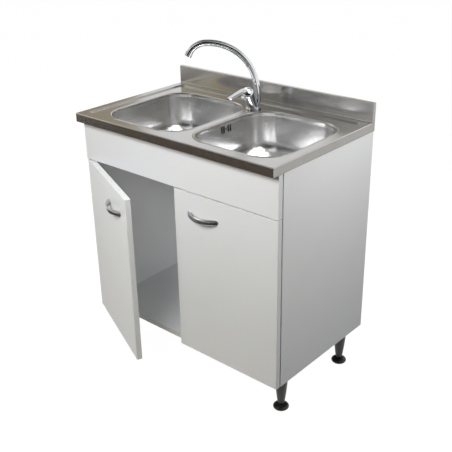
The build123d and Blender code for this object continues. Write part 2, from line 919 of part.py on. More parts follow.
for side, sign in sides:
    drain = (bowl_x[side], bowl_y)
    strainer_cup = turned(strainer_points, upright(drain))
    plug_form = turned(plug_points, upright(drain))
    waste_form = turned(waste_points, upright(drain))

    with BuildPart() as waste_strainer:
        add(strainer_cup)
        with BuildSketch(Plane.XY.offset(strainer_under)):
            with Locations(drain):
                with PolarLocations(strainer_hole_circle, strainer_holes):
                    Circle(strainer_hole_radius)
        extrude(amount=strainer_sheet, mode=Mode.SUBTRACT)
    label_and_write(waste_strainer, f"{side}_waste_strainer")

    with BuildPart() as basket_plug:
        add(plug_form)
        with BuildSketch(Plane.XY.offset(plug_floor)):
            with Locations(drain):
                with PolarLocations(strainer_hole_circle, strainer_holes):
                    Circle(strainer_hole_radius)
        extrude(amount=plug_sheet, mode=Mode.SUBTRACT)
    label_and_write(basket_plug, f"{side}_basket_plug")

    with BuildPart() as waste_body:
        add(waste_form)
        with BuildSketch(Plane.XY.offset(sump)):
            with Locations(drain):
                Rectangle(2 * waste_bore + pipe_wall, waste_rib)
                Rectangle(waste_rib, 2 * waste_bore + pipe_wall)
        extrude(amount=waste_rib_height)
        with BuildSketch(Plane.XY.offset(sump)):
            with Locations(drain):
                Circle(waste_boss_radius)
        extrude(amount=strainer_under - sump)
        with BuildSketch(Plane.XY.offset(sump)):
            with Locations(drain):
                Circle(waste_screw_radius)
        extrude(amount=strainer_under - sump, mode=Mode.SUBTRACT)
        if side == "right":
            spigot_end = drain[0] - overflow_inlet_reach
            with BuildSketch(Plane.YZ.offset(spigot_end)):
                with Locations((bowl_y, overflow_inlet_z)):
                    Circle(overflow_spigot_radius)
            extrude(until=Until.NEXT)
            with BuildSketch(Plane.YZ.offset(spigot_end)):
                with Locations((bowl_y, overflow_inlet_z)):
                    Circle(overflow_spigot_radius - overflow_box_wall)
            extrude(amount=overflow_inlet_reach - waste_bore + pipe_wall, mode=Mode.SUBTRACT)
    label_and_write(waste_body, f"{side}_waste_body")

gaskets = [turned(gasket_points, upright(drain)) for drain in drains]
with BuildPart() as waste_gaskets:
    add(gaskets)
label_and_write(waste_gaskets, "waste_gaskets")

centre_screws = [turned(screw_points, upright(drain)) for drain in drains]
with BuildPart() as waste_screws:
    add(centre_screws)
label_and_write(waste_screws, "waste_screws")

# ---- overflow: a box behind the slots, and its hose down to the right waste ----
draft = radians(bowl_draft)
overflow_z = recess_top - overflow_drop
wall_lean = (weld_level - overflow_z) * sin(draft) / cos(draft)
overflow_x = bowl_x["right"] - bowl_width / 2 - steel + wall_lean
spigot_x = overflow_x - overflow_box_depth / 2
spigot_bottom = overflow_z - overflow_box_height / 2 - overflow_spigot_length
bowl_wall = Plane(
    origin=(overflow_x, bowl_y + overflow_shift, overflow_z),
    x_dir=(0, 1, 0),
    z_dir=(-cos(draft), 0, -sin(draft)),
)

with BuildPart() as overflow_fitting:
    with BuildSketch(bowl_wall):
        RectangleRounded(overflow_box_length, overflow_box_height, overflow_box_corner)
    extrude(amount=overflow_box_depth)
    with BuildSketch(Plane.XY.offset(spigot_bottom)):
        with Locations((spigot_x, bowl_y)):
            Circle(overflow_spigot_radius)
    extrude(amount=overflow_spigot_length + overflow_spigot_root)
    with BuildSketch(bowl_wall):
        RectangleRounded(
            overflow_box_length - 2 * overflow_box_wall,
            overflow_box_height - 2 * overflow_box_wall,
            overflow_box_corner - overflow_box_wall,
        )
    extrude(amount=overflow_box_depth - overflow_box_wall, mode=Mode.SUBTRACT)
    with BuildSketch(Plane.XY.offset(spigot_bottom)):
        with Locations((spigot_x, bowl_y)):
            Circle(overflow_spigot_radius - overflow_box_wall)
    extrude(amount=overflow_spigot_length + overflow_spigot_root, mode=Mode.SUBTRACT)
label_and_write(overflow_fitting, "overflow_fitting")

hose_start = (spigot_x, bowl_y, spigot_bottom + overflow_slip)
hose_end = (bowl_x["right"] - overflow_inlet_reach + overflow_slip, bowl_y, overflow_inlet_z)
with BuildPart() as overflow_pipe:
    with BuildLine():
        FilletPolyline(hose_start, (hose_start[0], bowl_y, hose_end[2]), hose_end, radius=overflow_bend)
    with BuildSketch(Plane.XY.offset(hose_start[2])):
        with Locations(hose_start[:2]):
            Circle(overflow_spigot_radius + overflow_pipe_wall)
            Circle(overflow_spigot_radius, mode=Mode.SUBTRACT)
    sweep()
label_and_write(overflow_pipe, "overflow_pipe")

# ---- pipes under the bowls, trap and outlet ----
link_start = (bowl_x["left"], bowl_y, tail_bottom)
link_end = (bowl_x["right"] - tee_reach, bowl_y, link_z)
trap_bottom = trap_top - trap_height
outlet_start = bowl_y + outlet_reach
outlet_end = rear - outlet_inset
right_drain = (bowl_x["right"], bowl_y)


def pipe_ring():
    Circle(tail_radius)
    Circle(tail_radius - pipe_wall, mode=Mode.SUBTRACT)


with BuildPart() as waste_link_pipe:
    with BuildLine():
        corner = (link_start[0], bowl_y, link_z)
        FilletPolyline(link_start, corner, link_end, radius=link_drop - link_straight)
    with BuildSketch(Plane.XY.offset(tail_bottom)):
        with Locations(link_start[:2]):
            pipe_ring()
    sweep()
label_and_write(waste_link_pipe, "waste_link_pipe")

with BuildPart() as waste_tee:
    with BuildSketch(Plane.XY.offset(trap_top)):
        with Locations(right_drain):
            Circle(tail_radius)
    extrude(amount=tail_bottom - trap_top)
    with BuildSketch(Plane.YZ.offset(link_end[0])):
        with Locations((bowl_y, link_z)):
            Circle(tail_radius)
    extrude(amount=tee_reach)
    with BuildSketch(Plane.XY.offset(trap_top)):
        with Locations(right_drain):
            Circle(tail_radius - pipe_wall)
    extrude(amount=tail_bottom - trap_top, mode=Mode.SUBTRACT)
    with BuildSketch(Plane.YZ.offset(link_end[0])):
        with Locations((bowl_y, link_z)):
            Circle(tail_radius - pipe_wall)
    extrude(amount=tee_reach, mode=Mode.SUBTRACT)
label_and_write(waste_tee, "waste_tee")

trap_joint = trap_top - trap_split
trap_points = (
    (tail_radius - pipe_wall, trap_top),
    (tail_radius - pipe_wall, trap_top - trap_wall),
    (trap_radius - trap_wall, trap_top - trap_wall),
    (trap_radius - trap_wall, trap_joint),
    (trap_radius, trap_joint),
    (trap_radius, trap_top),
)
cup_points = (
    (0, trap_bottom),
    (trap_radius - trap_chamfer, trap_bottom),
    (trap_radius, trap_bottom + trap_chamfer),
    (trap_radius, trap_joint - trap_grip_height),
    (trap_radius + trap_grip, trap_joint - trap_grip_height),
    (trap_radius + trap_grip, trap_joint),
    (trap_radius - trap_wall, trap_joint),
    (trap_radius - trap_wall, trap_bottom + trap_chamfer + trap_wall),
    (0, trap_bottom + trap_wall),
)

trap_shell = turned(trap_points, upright(right_drain))
with BuildPart() as trap_body:
    with BuildSketch(Plane.XZ.offset(-outlet_start)):
        with Locations((right_drain[0], outlet_z)):
            Circle(tail_radius)
    extrude(amount=outlet_reach - trap_radius / 2)
    with BuildSketch(Plane.XY.offset(trap_joint)):
        with Locations(right_drain):
            Circle(trap_radius - trap_wall)
    extrude(amount=trap_split - trap_wall, mode=Mode.SUBTRACT)
    add(trap_shell)
    with BuildSketch(Plane.XZ.offset(-outlet_start)):
        with Locations((right_drain[0], outlet_z)):
            Circle(tail_radius - pipe_wall)
    extrude(amount=outlet_reach, mode=Mode.SUBTRACT)
label_and_write(trap_body, "trap_body")

cup_form = turned(cup_points, upright(right_drain))
with BuildPart() as trap_cup:
    add(cup_form)
label_and_write(trap_cup, "trap_cup")

with BuildPart() as trap_outlet_pipe:
    with BuildSketch(Plane.XZ.offset(-outlet_end)):
        with Locations((right_drain[0], outlet_z)):
            pipe_ring()
    extrude(amount=outlet_end - outlet_start)
    with BuildSketch(Plane.XZ.offset(outlet_spigot - outlet_end)):
        with Locations((right_drain[0], outlet_z)):
            Circle(tail_radius + outlet_bead)
            Circle(tail_radius - pipe_wall, mode=Mode.SUBTRACT)
    extrude(amount=outlet_bead_length)
label_and_write(trap_outlet_pipe, "trap_outlet_pipe")


def nut_ring():
    RegularPolygon(tail_radius + nut_wall, nut_sides)
    Circle(tail_radius, mode=Mode.SUBTRACT)


with BuildPart() as slip_nuts:
    with BuildSketch(Plane.XY.offset(tail_bottom - link_straight)):
        with Locations(*drains):
            nut_ring()
    with BuildSketch(Plane.XY.offset(trap_top)):
        with Locations(right_drain):
            nut_ring()
    with BuildSketch(Plane.YZ.offset(link_end[0] - nut_height / 2)):
        with Locations((bowl_y, link_z)):
            nut_ring()
    with BuildSketch(Plane.XZ.offset(-outlet_start - nut_height / 2)):
        with Locations((right_drain[0], outlet_z)):
            nut_ring()
    extrude(amount=nut_height)
label_and_write(slip_nuts, "slip_nuts")

# ---- tap: the column leans forward to the lever's ball, and the spout stands behind it ----
tap_base = recess_top + tap_seal
lean = radians(tap_lean)
pivot = Vector(tap_x, tap_y - tap_reach, recess_top + tap_rise)
column_up = Vector(0, -sin(lean), cos(lean))
column_back = Vector(0, cos(lean), sin(lean))
tilted = Plane(origin=pivot, x_dir=(1, 0, 0), z_dir=column_up)
ball_plane = Plane(origin=pivot, x_dir=(1, 0, 0), z_dir=-column_back)
foot_y = pivot.Y + (pivot.Z - tap_base) * sin(lean) / cos(lean)
socket_y = tap_y + socket_back
socket_top = recess_top + socket_rise
shank_bottom = tap_base - tap_shank_length

with BuildPart() as tap_body:
    with BuildSketch(Plane.XY.offset(tap_base)):
        with Locations((tap_x, tap_y)):
            Circle(tap_base_radius)
    extrude(amount=tap_base_height)
    fillet(tap_body.edges().group_by(Axis.Z)[-1], tap_base_height / 2)
    with BuildSketch(Plane.XY.offset(tap_base)):
        with Locations((tap_x, foot_y)):
            Circle(tap_neck_radius)
    with BuildSketch(tilted.offset(-column_top_drop)):
        Circle(tap_column_radius)
    loft()
    with BuildSketch(Plane.XY.offset(tap_base)):
        with Locations((tap_x, tap_y)):
            Circle(socket_outer)
    with BuildSketch(Plane.XY.offset(socket_top - socket_knee)):
        with Locations((tap_x, socket_y)):
            Circle(socket_outer)
    loft()
    with BuildSketch(Plane.XY.offset(socket_top - socket_knee)):
        with Locations((tap_x, socket_y)):
            Circle(socket_outer)
    extrude(amount=socket_knee)
    with BuildSketch(Plane.XY.offset(shank_bottom)):
        with Locations((tap_x, tap_y)):
            Circle(tap_shank_radius)
    extrude(amount=tap_shank_length)
    with BuildSketch(tilted.offset(-column_top_drop)):
        Circle(cartridge_radius)
    extrude(amount=column_top_drop - cartridge_depth, mode=Mode.SUBTRACT)
    with BuildSketch(Plane.XY.offset(socket_top)):
        with Locations((tap_x, socket_y)):
            Circle(spout_spigot_radius + tap_fit)
    extrude(amount=-spout_spigot_length - tap_fit, mode=Mode.SUBTRACT)
    with BuildSketch(Plane.XY.offset(shank_bottom)):
        with Locations(*[(tap_x + end * inlet_pitch / 2, tap_y) for end in (-1, 1)]):
            Circle(inlet_radius)
    extrude(amount=inlet_depth, mode=Mode.SUBTRACT)
label_and_write(tap_body, "tap_body")

with BuildPart() as tap_base_seal:
    with BuildSketch(Plane.XY.offset(recess_top)):
        with Locations((tap_x, tap_y)):
            Circle(tap_base_radius - tap_seal)
            Circle(tap_shank_radius, mode=Mode.SUBTRACT)
    extrude(amount=tap_seal)
label_and_write(tap_base_seal, "tap_base_seal")

with BuildPart() as tap_backnut:
    with BuildSketch(Plane.XY.offset(recess_under)):
        with Locations((tap_x, tap_y)):
            RegularPolygon(backnut_radius, 6)
            Circle(tap_shank_radius, mode=Mode.SUBTRACT)
    extrude(amount=-backnut_height)
label_and_write(tap_backnut, "tap_backnut")

with BuildPart() as tap_cartridge:
    with BuildSketch(tilted.offset(-cartridge_depth)):
        Circle(cartridge_radius)
    extrude(amount=cartridge_depth - cartridge_top_drop)
    with BuildSketch(tilted.offset(-carrier_depth)):
        Circle(carrier_radius + tap_fit)
    extrude(amount=carrier_depth, mode=Mode.SUBTRACT)
label_and_write(tap_cartridge, "tap_cartridge")

with BuildPart() as cartridge_nut:
    nut_bore = carrier_radius + nut_bore_clear
    lower = (sqrt(nut_sphere_radius**2 - column_top_drop**2), -column_top_drop)
    upper = (sqrt(nut_sphere_radius**2 - nut_top_rise**2), nut_top_rise)
    with BuildSketch(ball_plane):
        with BuildLine():
            ThreePointArc(lower, (nut_sphere_radius, 0), upper)
            Polyline(upper, (nut_bore, nut_top_rise), (nut_bore, -cartridge_top_drop))
            Polyline((nut_bore, -cartridge_top_drop), (cartridge_radius, -cartridge_top_drop))
            Polyline((cartridge_radius, -cartridge_top_drop), (cartridge_radius, -column_top_drop), lower)
        make_face()
    revolve(axis=Axis(pivot, column_up))
label_and_write(cartridge_nut, "cartridge_nut")

with BuildPart() as lever_carrier:
    with BuildSketch(tilted.offset(-carrier_depth + tap_fit)):
        Circle(carrier_radius)
    extrude(amount=carrier_depth - tap_fit + carrier_rise)
    with BuildSketch(tilted.offset(-carrier_slot_depth)):
        Rectangle(carrier_slot, 2 * carrier_radius)
    extrude(amount=carrier_slot_depth + carrier_rise, mode=Mode.SUBTRACT)
    with BuildSketch(Plane.YZ.offset(pivot.X)):
        with Locations((pivot.Y, pivot.Z)):
            Circle(spindle_pin_radius)
    extrude(amount=(carrier_slot + carrier_radius) / 2, both=True)
label_and_write(lever_carrier, "lever_carrier")

with BuildPart() as lever_spindle:
    with BuildSketch(tilted.offset(-spindle_below)):
        Circle(spindle_radius)
    extrude(amount=spindle_below + spindle_above)
    with BuildSketch(Plane.YZ.offset(pivot.X)):
        with Locations((pivot.Y, pivot.Z)):
            Circle(spindle_pin_radius + tap_fit)
    extrude(amount=spindle_radius, both=True, mode=Mode.SUBTRACT)
label_and_write(lever_spindle, "lever_spindle")

# The blade runs from the top of the dome to its tip; its plan narrows towards the tip.
tip_y = pivot.Y - lever_reach
tip_top = pivot.Z + lever_tip_rise
rim_lean = lean + radians(lever_rim_tilt)
rim = Plane(
    origin=pivot + column_up * lever_rim_rise, x_dir=(1, 0, 0), z_dir=(0, -sin(rim_lean), cos(rim_lean))
)

with BuildPart() as blade:
    with BuildSketch(Plane.YZ.offset(pivot.X)):
        with BuildLine():
            Polyline(
                (tip_y, tip_top),
                (pivot.Y, pivot.Z + lever_outer_radius),
                (pivot.Y, pivot.Z + lever_root_floor),
                (tip_y, tip_top - lever_tip_thick),
                close=True,
            )
        make_face()
    extrude(amount=lever_root_width / 2, both=True)
    with BuildSketch(Plane.XY):
        with BuildLine():
            Polyline(
                (pivot.X - lever_tip_width / 2, tip_y),
                (pivot.X - lever_root_width / 2, pivot.Y),
                (pivot.X + lever_root_width / 2, pivot.Y),
                (pivot.X + lever_tip_width / 2, tip_y),
                close=True,
            )
        make_face()
    extrude(amount=splash_top + lever_reach, mode=Mode.INTERSECT)
    fillet(blade.edges().filter_by(lambda e: e.center().Y < pivot.Y - lever_edge), lever_edge)
    split(bisect_by=rim, keep=Keep.TOP)


def ball_cap(radius):
    """The part of a ball about the pivot that lies above the dome's rim."""
    level = lever_rim_rise * cos(radians(lever_rim_tilt))
    edge = (sqrt(radius**2 - level**2), level)
    with BuildPart() as cap:
        with BuildSketch(Plane(origin=pivot, x_dir=(1, 0, 0), z_dir=Vector(1, 0, 0).cross(rim.z_dir))):
            with BuildLine():
                RadiusArc(edge, (0, radius), -radius)
                Polyline((0, radius), (0, level), edge)
            make_face()
        revolve(axis=Axis(pivot, rim.z_dir))
    return cap.part


dome_outside = ball_cap(lever_outer_radius)
dome_inside = ball_cap(lever_inner_radius)
with BuildPart() as lever:
    add(dome_outside)
    add(blade.part)
    add(dome_inside, mode=Mode.SUBTRACT)
    with BuildSketch(tilted.offset(lever_boss_start)):
        Circle(lever_boss_radius)
    extrude(amount=lever_inner_radius - lever_boss_start + lever_boss_sink)
    with BuildSketch(tilted.offset(lever_boss_start)):
        Circle(spindle_radius)
    extrude(amount=spindle_above - lever_boss_start, mode=Mode.SUBTRACT)
label_and_write(lever, "lever")

# ---- spout: a tapered riser that bends over in two arcs, hollow to the aerator ----
heading = radians(spout_heading)
spout_plane = Plane(
    origin=(tap_x, socket_y, socket_top),
    x_dir=(cos(heading), sin(heading), 0),
    z_dir=(sin(heading), -cos(heading), 0),
)


def bend_end(start, from_degrees, to_degrees, radius):
    """Where a pipe that starts at an angle from upright ends after a bend of this radius."""
    first, last = radians(from_degrees), radians(to_degrees)
    return (start[0] + radius * (cos(first) - cos(last)), start[1] + radius * (sin(last) - sin(first)))


def across(place, degrees):
    """The plane across the pipe at a place in the spout's own plane, looking along the flow."""
    angle = radians(degrees)
    along = spout_plane.x_dir * sin(angle) + spout_plane.y_dir * cos(angle)
    origin = spout_plane.origin + spout_plane.x_dir * place[0] + spout_plane.y_dir * place[1]
    return Plane(origin=origin, x_dir=spout_plane.z_dir, z_dir=along)


halfway_up = (spout_lean_angle + spout_crest_angle) / 2
halfway_down = (spout_crest_angle + spout_fall_angle) / 2
riser_end = bend_end((0, 0), 0, spout_lean_angle, spout_lean_radius)
crest_middle = bend_end(riser_end, spout_lean_angle, halfway_up, spout_crest_radius)
crest_end = bend_end(riser_end, spout_lean_angle, spout_crest_angle, spout_crest_radius)
fall_middle = bend_end(crest_end, spout_crest_angle, halfway_down, spout_fall_radius)
nose_end = bend_end(crest_end, spout_crest_angle, spout_fall_angle, spout_fall_radius)


def spout_form(base_radius, tube_radius, floor):
    """The riser and its two bends as a solid rod, from a height above the socket to the aerator."""
    with BuildPart() as form:
        with BuildSketch(across((0, floor), 0)):
            Circle(base_radius)
        with BuildSketch(across(riser_end, spout_lean_angle)):
            Circle(tube_radius)
        loft()
    with BuildPart() as hook:
        with BuildLine(spout_plane):
            ThreePointArc(riser_end, crest_middle, crest_end)
            ThreePointArc(crest_end, fall_middle, nose_end)
        with BuildSketch(across(riser_end, spout_lean_angle)):
            Circle(tube_radius)
        sweep()
    return form.part + hook.part


spout_outside = spout_form(spout_base_radius, spout_radius, 0)
spout_bore = spout_form(spout_base_radius - spout_wall, spout_radius - spout_wall, spout_wall)
with BuildPart() as spout:
    add(spout_outside)
    with BuildSketch(Plane.XY.offset(socket_top)):
        with Locations((tap_x, socket_y)):
            Circle(spout_spigot_radius)
    extrude(amount=-spout_spigot_length)
    add(spout_bore, mode=Mode.SUBTRACT)
    with BuildSketch(Plane.XY.offset(socket_top - spout_spigot_length)):
        with Locations((tap_x, socket_y)):
            Circle(spout_spigot_radius - spout_wall)
    extrude(amount=spout_spigot_length + 2 * spout_wall, mode=Mode.SUBTRACT)
label_and_write(spout, "spout")

with BuildPart() as aerator:
    with BuildSketch(across(nose_end, spout_fall_angle)):
        Circle(aerator_radius)
    extrude(amount=aerator_length)
    with BuildSketch(across(nose_end, spout_fall_angle).offset(aerator_length)):
        Circle(spout_radius - spout_wall)
    extrude(amount=-aerator_recess, mode=Mode.SUBTRACT)
label_and_write(aerator, "aerator")
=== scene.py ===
import json
from math import asin, copysign, cos, exp, pi, radians, sin, sqrt, tan

import bmesh
import bpy
from bpy.props import FloatProperty, FloatVectorProperty, PointerProperty
from mathutils import Matrix, Vector


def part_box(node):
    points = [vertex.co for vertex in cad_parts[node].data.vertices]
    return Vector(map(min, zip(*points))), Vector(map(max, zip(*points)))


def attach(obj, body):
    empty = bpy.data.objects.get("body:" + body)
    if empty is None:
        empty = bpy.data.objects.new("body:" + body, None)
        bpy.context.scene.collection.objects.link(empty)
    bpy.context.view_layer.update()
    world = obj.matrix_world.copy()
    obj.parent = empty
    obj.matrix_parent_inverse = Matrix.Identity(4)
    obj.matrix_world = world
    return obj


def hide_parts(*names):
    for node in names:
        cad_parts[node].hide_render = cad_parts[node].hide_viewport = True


bl_info = {
    "name": "Kitchen Sink Unit",
    "version": (1, 0, 0),
    "blender": (4, 5, 0),
    "location": "View3D > Sidebar > Sink Unit",
    "description": "Dresses a two-door kitchen sink unit in pressed steel, white board and chrome",
    "category": "Object",
}

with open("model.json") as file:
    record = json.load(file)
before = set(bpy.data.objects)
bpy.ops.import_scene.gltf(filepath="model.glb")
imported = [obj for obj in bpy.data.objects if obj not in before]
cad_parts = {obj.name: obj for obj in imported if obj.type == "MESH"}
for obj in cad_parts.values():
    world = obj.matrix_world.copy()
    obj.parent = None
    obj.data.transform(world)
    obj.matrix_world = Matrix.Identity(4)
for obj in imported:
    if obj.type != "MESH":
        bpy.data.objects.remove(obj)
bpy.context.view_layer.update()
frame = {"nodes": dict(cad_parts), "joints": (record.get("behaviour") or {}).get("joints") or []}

MM = 0.001
UP = Vector((0, 0, 1))
SIDES = (("left", -1), ("right", 1))
JOINTS = {joint["name"]: joint for joint in frame["joints"]}


# ---------------------------------------------------------------- sizes and colours
def size(name, millimetres, description):
    """A length that a user can change, kept in metres."""
    return FloatProperty(
        name=name, description=description, default=millimetres * MM, unit="LENGTH", precision=4
    )


def angle(name, degrees, description):
    """An angle that a user can change."""
    return FloatProperty(name=name, description=description, default=radians(degrees), subtype="ANGLE")


def linear(hex_colour):
    """An sRGB hex colour as the linear red, green, blue and alpha that a shader takes."""
    channels = [int(hex_colour[i : i + 2], 16) / 255 for i in (1, 3, 5)]
    return [c / 12.92 if c <= 0.04045 else ((c + 0.055) / 1.055) ** 2.4 for c in channels] + [1.0]


def colour(name, hex_colour, description):
    """A colour that a user can change."""
    return FloatVectorProperty(
        name=name,
        description=description,
        default=linear(hex_colour),
        size=4,
        subtype="COLOR",
        min=0,
        max=1,
    )


def sizes(group):
    """The values that the scene keeps for one group of pieces."""
    return getattr(bpy.context.scene, f"sink_{group}")


class SteelTopSizes(bpy.types.PropertyGroup):
    """The pressed sheet: deck, turned-down edges, upstand, recess and beads."""

    sheet: size("Sheet", 1.0, "Thickness of the steel sheet")
    deck: size("Deck height", 850.0, "Height of the deck above the floor")
    bend: size("Bend radius", 2.5, "Outside radius of the folded edges")
    splash_thick: size("Upstand thickness", 15.0, "Front to back size of the upstand's fold")
    splash_lip: size("Upstand lip", 12.0, "Height of the lip folded down at the back")
    cove: size("Upstand cove", 3.0, "Radius of the fold where the upstand leaves the deck")
    recess: size("Recess depth", 4.0, "How far the middle is pressed below the deck")
    recess_side: size("Recess side margin", 26.0, "Deck left at each side of the recess")
    recess_front: size("Recess front margin", 32.0, "Deck left in front of the recess")
    recess_rear: size("Recess rear margin", 20.0, "Deck left between the recess and the upstand")
    recess_corner: size("Recess corner", 14.0, "Corner radius of the recess")
    recess_lean: angle("Recess lean", 40.0, "Lean of the recess's edge from upright")
    recess_fold: size("Recess fold", 1.5, "Radius over which the deck turns down")
    recess_foot: size("Recess foot", 0.9, "Radius over which the recess's edge levels out")
    bead: size("Bead width", 9.0, "Width of the raised bead round each bowl")
    bead_rise: size("Bead rise", 1.4, "Height of the bead above the recess")
    bead_foot: size("Bead foot", 1.0, "Radius where the bead leaves the recess")
    bead_crown: size("Bead crown", 3.0, "Radius over the bead's outer side")
    bead_round: size("Bead rounding", 4.2, "Radius over which the bead turns down into the bowl")
    skirt: size("Bead skirt", 10.0, "Depth of the bead's wall, down to the bowl's weld")
    tap_hole: size("Tap hole radius", 17.5, "Radius of the hole under the tap")


class BowlSizes(bpy.types.PropertyGroup):
    """The two drawn bowls."""

    width: size("Bowl width", 330.0, "Left to right size of a bowl's mouth")
    length: size("Bowl length", 361.0, "Front to back size of a bowl's mouth")
    gap: size("Bowl gap", 33.0, "Space between the two mouths")
    shift: size("Bowl shift", 13.5, "How far the pair of bowls stands right of the middle")
    front_margin: size("Bowl front margin", 49.0, "From the front edge to a bowl's mouth")
    corner: size("Bowl corner", 85.0, "Corner radius of a bowl's mouth")
    depth: size("Bowl depth", 150.0, "From the recess to the bowl's floor")
    collar: size("Bowl collar", 3.0, "Upright height of the bowl under its weld")
    collar_round: size("Collar rounding", 30.0, "Radius between the collar and the leaning wall")
    draft: angle("Bowl draft", 5.0, "Lean of the bowl's walls")
    floor_round: size("Floor rounding", 60.0, "Radius between the walls and the floor")
    floor_fall: size("Floor fall", 6.0, "How far the floor falls to the drain")
    seat: size("Drain seat depth", 4.0, "Depth of the seat round the drain")
    seat_radius: size("Drain seat radius", 58.5, "Radius of the seat round the drain")
    seat_round: size("Drain seat rounding", 0.8, "Radius of the seat's two folds")
    drain_radius: size("Drain hole radius", 44.0, "Radius of the hole in the seat")
    slot_width: size("Overflow slot width", 6.402, "Width of an overflow slot")
    slot_height: size("Overflow slot height", 23.5, "Height of an overflow slot")
    slot_pitch: size("Overflow slot pitch", 10.0, "Spacing of the overflow slots")
    slot_drop: size("Overflow drop", 25.0, "From the recess to the middle of the slots")
    slot_shift: size("Overflow shift", 9.0, "How far the slots stand behind the bowl's middle")
    slot_screw: size("Overflow screw radius", 3.0, "Radius of the screw between the slots")
    # the overflow liner is painted shade: a black cup whose black stands in for the dark inside the
    # overflow box
    liner_length: size("Overflow liner length", 54.0, "Length of the rubber cup behind the slots")
    liner_height: size("Overflow liner height", 28.0, "Height of the rubber cup behind the slots")
    liner_depth: size("Overflow liner depth", 10.5, "Depth of the rubber cup behind the slots")
    liner_wall: size("Overflow liner wall", 1.2, "Wall of the rubber cup behind the slots")
    liner_corner: size("Overflow liner corner", 5.5, "Corner radius of the rubber cup")
    liner_gap: size("Overflow liner gap", 0.3, "Space between the bowl's wall and the rubber cup")


class CabinetSizes(bpy.types.PropertyGroup):
    """Boards, doors and handles."""

    board: size("Board", 18.0, "Thickness of the boards")
    edge_round: size("Edge rounding", 0.6, "Rounding of the boards' edge bands")
    door_round: size("Door edge rounding", 2.0, "Rounding of the doors' upright edges")
    rebate: size("Back rebate", 9.0, "How far the back board lies in the sides")
    pin_from_edge: size("Pin from edge", 8.5, "From the door's hinge edge to its pins")
    pin_from_back: size("Pin from back", 9.5, "From the door's back face to its pins")
    cup_radius: size("Hinge cup radius", 17.5, "Radius of the hole for a hinge cup")
    cup_depth: size("Hinge cup depth", 13.0, "Depth of the hole for a hinge cup")
    handle_length: size("Handle length", 124.0, "Length of a bow handle")
    handle_bow: size("Handle bow", 27.0, "How far the bow stands out of the door")
    handle_band: size("Handle band", 17.0, "Height of the bow's band")
    handle_thick: size("Handle thickness", 6.0, "Thickness of the band at its middle")
    handle_foot: size("Handle foot", 18.0, "Length of each end that lies on the door")


class LegSizes(bpy.types.PropertyGroup):
    """The four moulded legs and their feet."""

    column_top: size("Leg top radius", 21.0, "Radius of a leg under its socket")
    waist: size("Leg waist radius", 17.0, "Radius of a leg at half its height")
    neck: size("Leg neck radius", 10.5, "Radius of a leg above its foot")
    edge: size("Leg edge", 0.8, "Rounding of the leg's neck and flange")
    top_edge: size("Leg top edge", 0.4, "Rounding of the leg's top")
    socket: size("Socket radius", 30.0, "Radius of the flange under the cabinet")
    socket_height: size("Socket height", 8.0, "Height of the flange and its collar")
    collar: size("Collar", 3.0, "Thickness of the flange, and of its collar round the leg")
    foot: size("Foot radius", 25.5, "Widest radius of the rounded foot")
    sole: size("Sole radius", 20.0, "Radius that stands on the floor")
    foot_height: size("Foot height", 17.0, "Height of the rounded foot")
    shoulder_drop: size("Shoulder drop", 2.5, "Height of the flat cone on top of the foot")
    stem: size("Stem radius", 5.0, "Radius of the levelling screw")
    stem_length: size("Stem length", 60.0, "How far the levelling screw reaches into the leg")
    thread: size("Thread pitch", 1.5, "Pitch of the levelling screw")
    thread_depth: size("Thread depth", 0.8, "Depth of the levelling screw's thread")


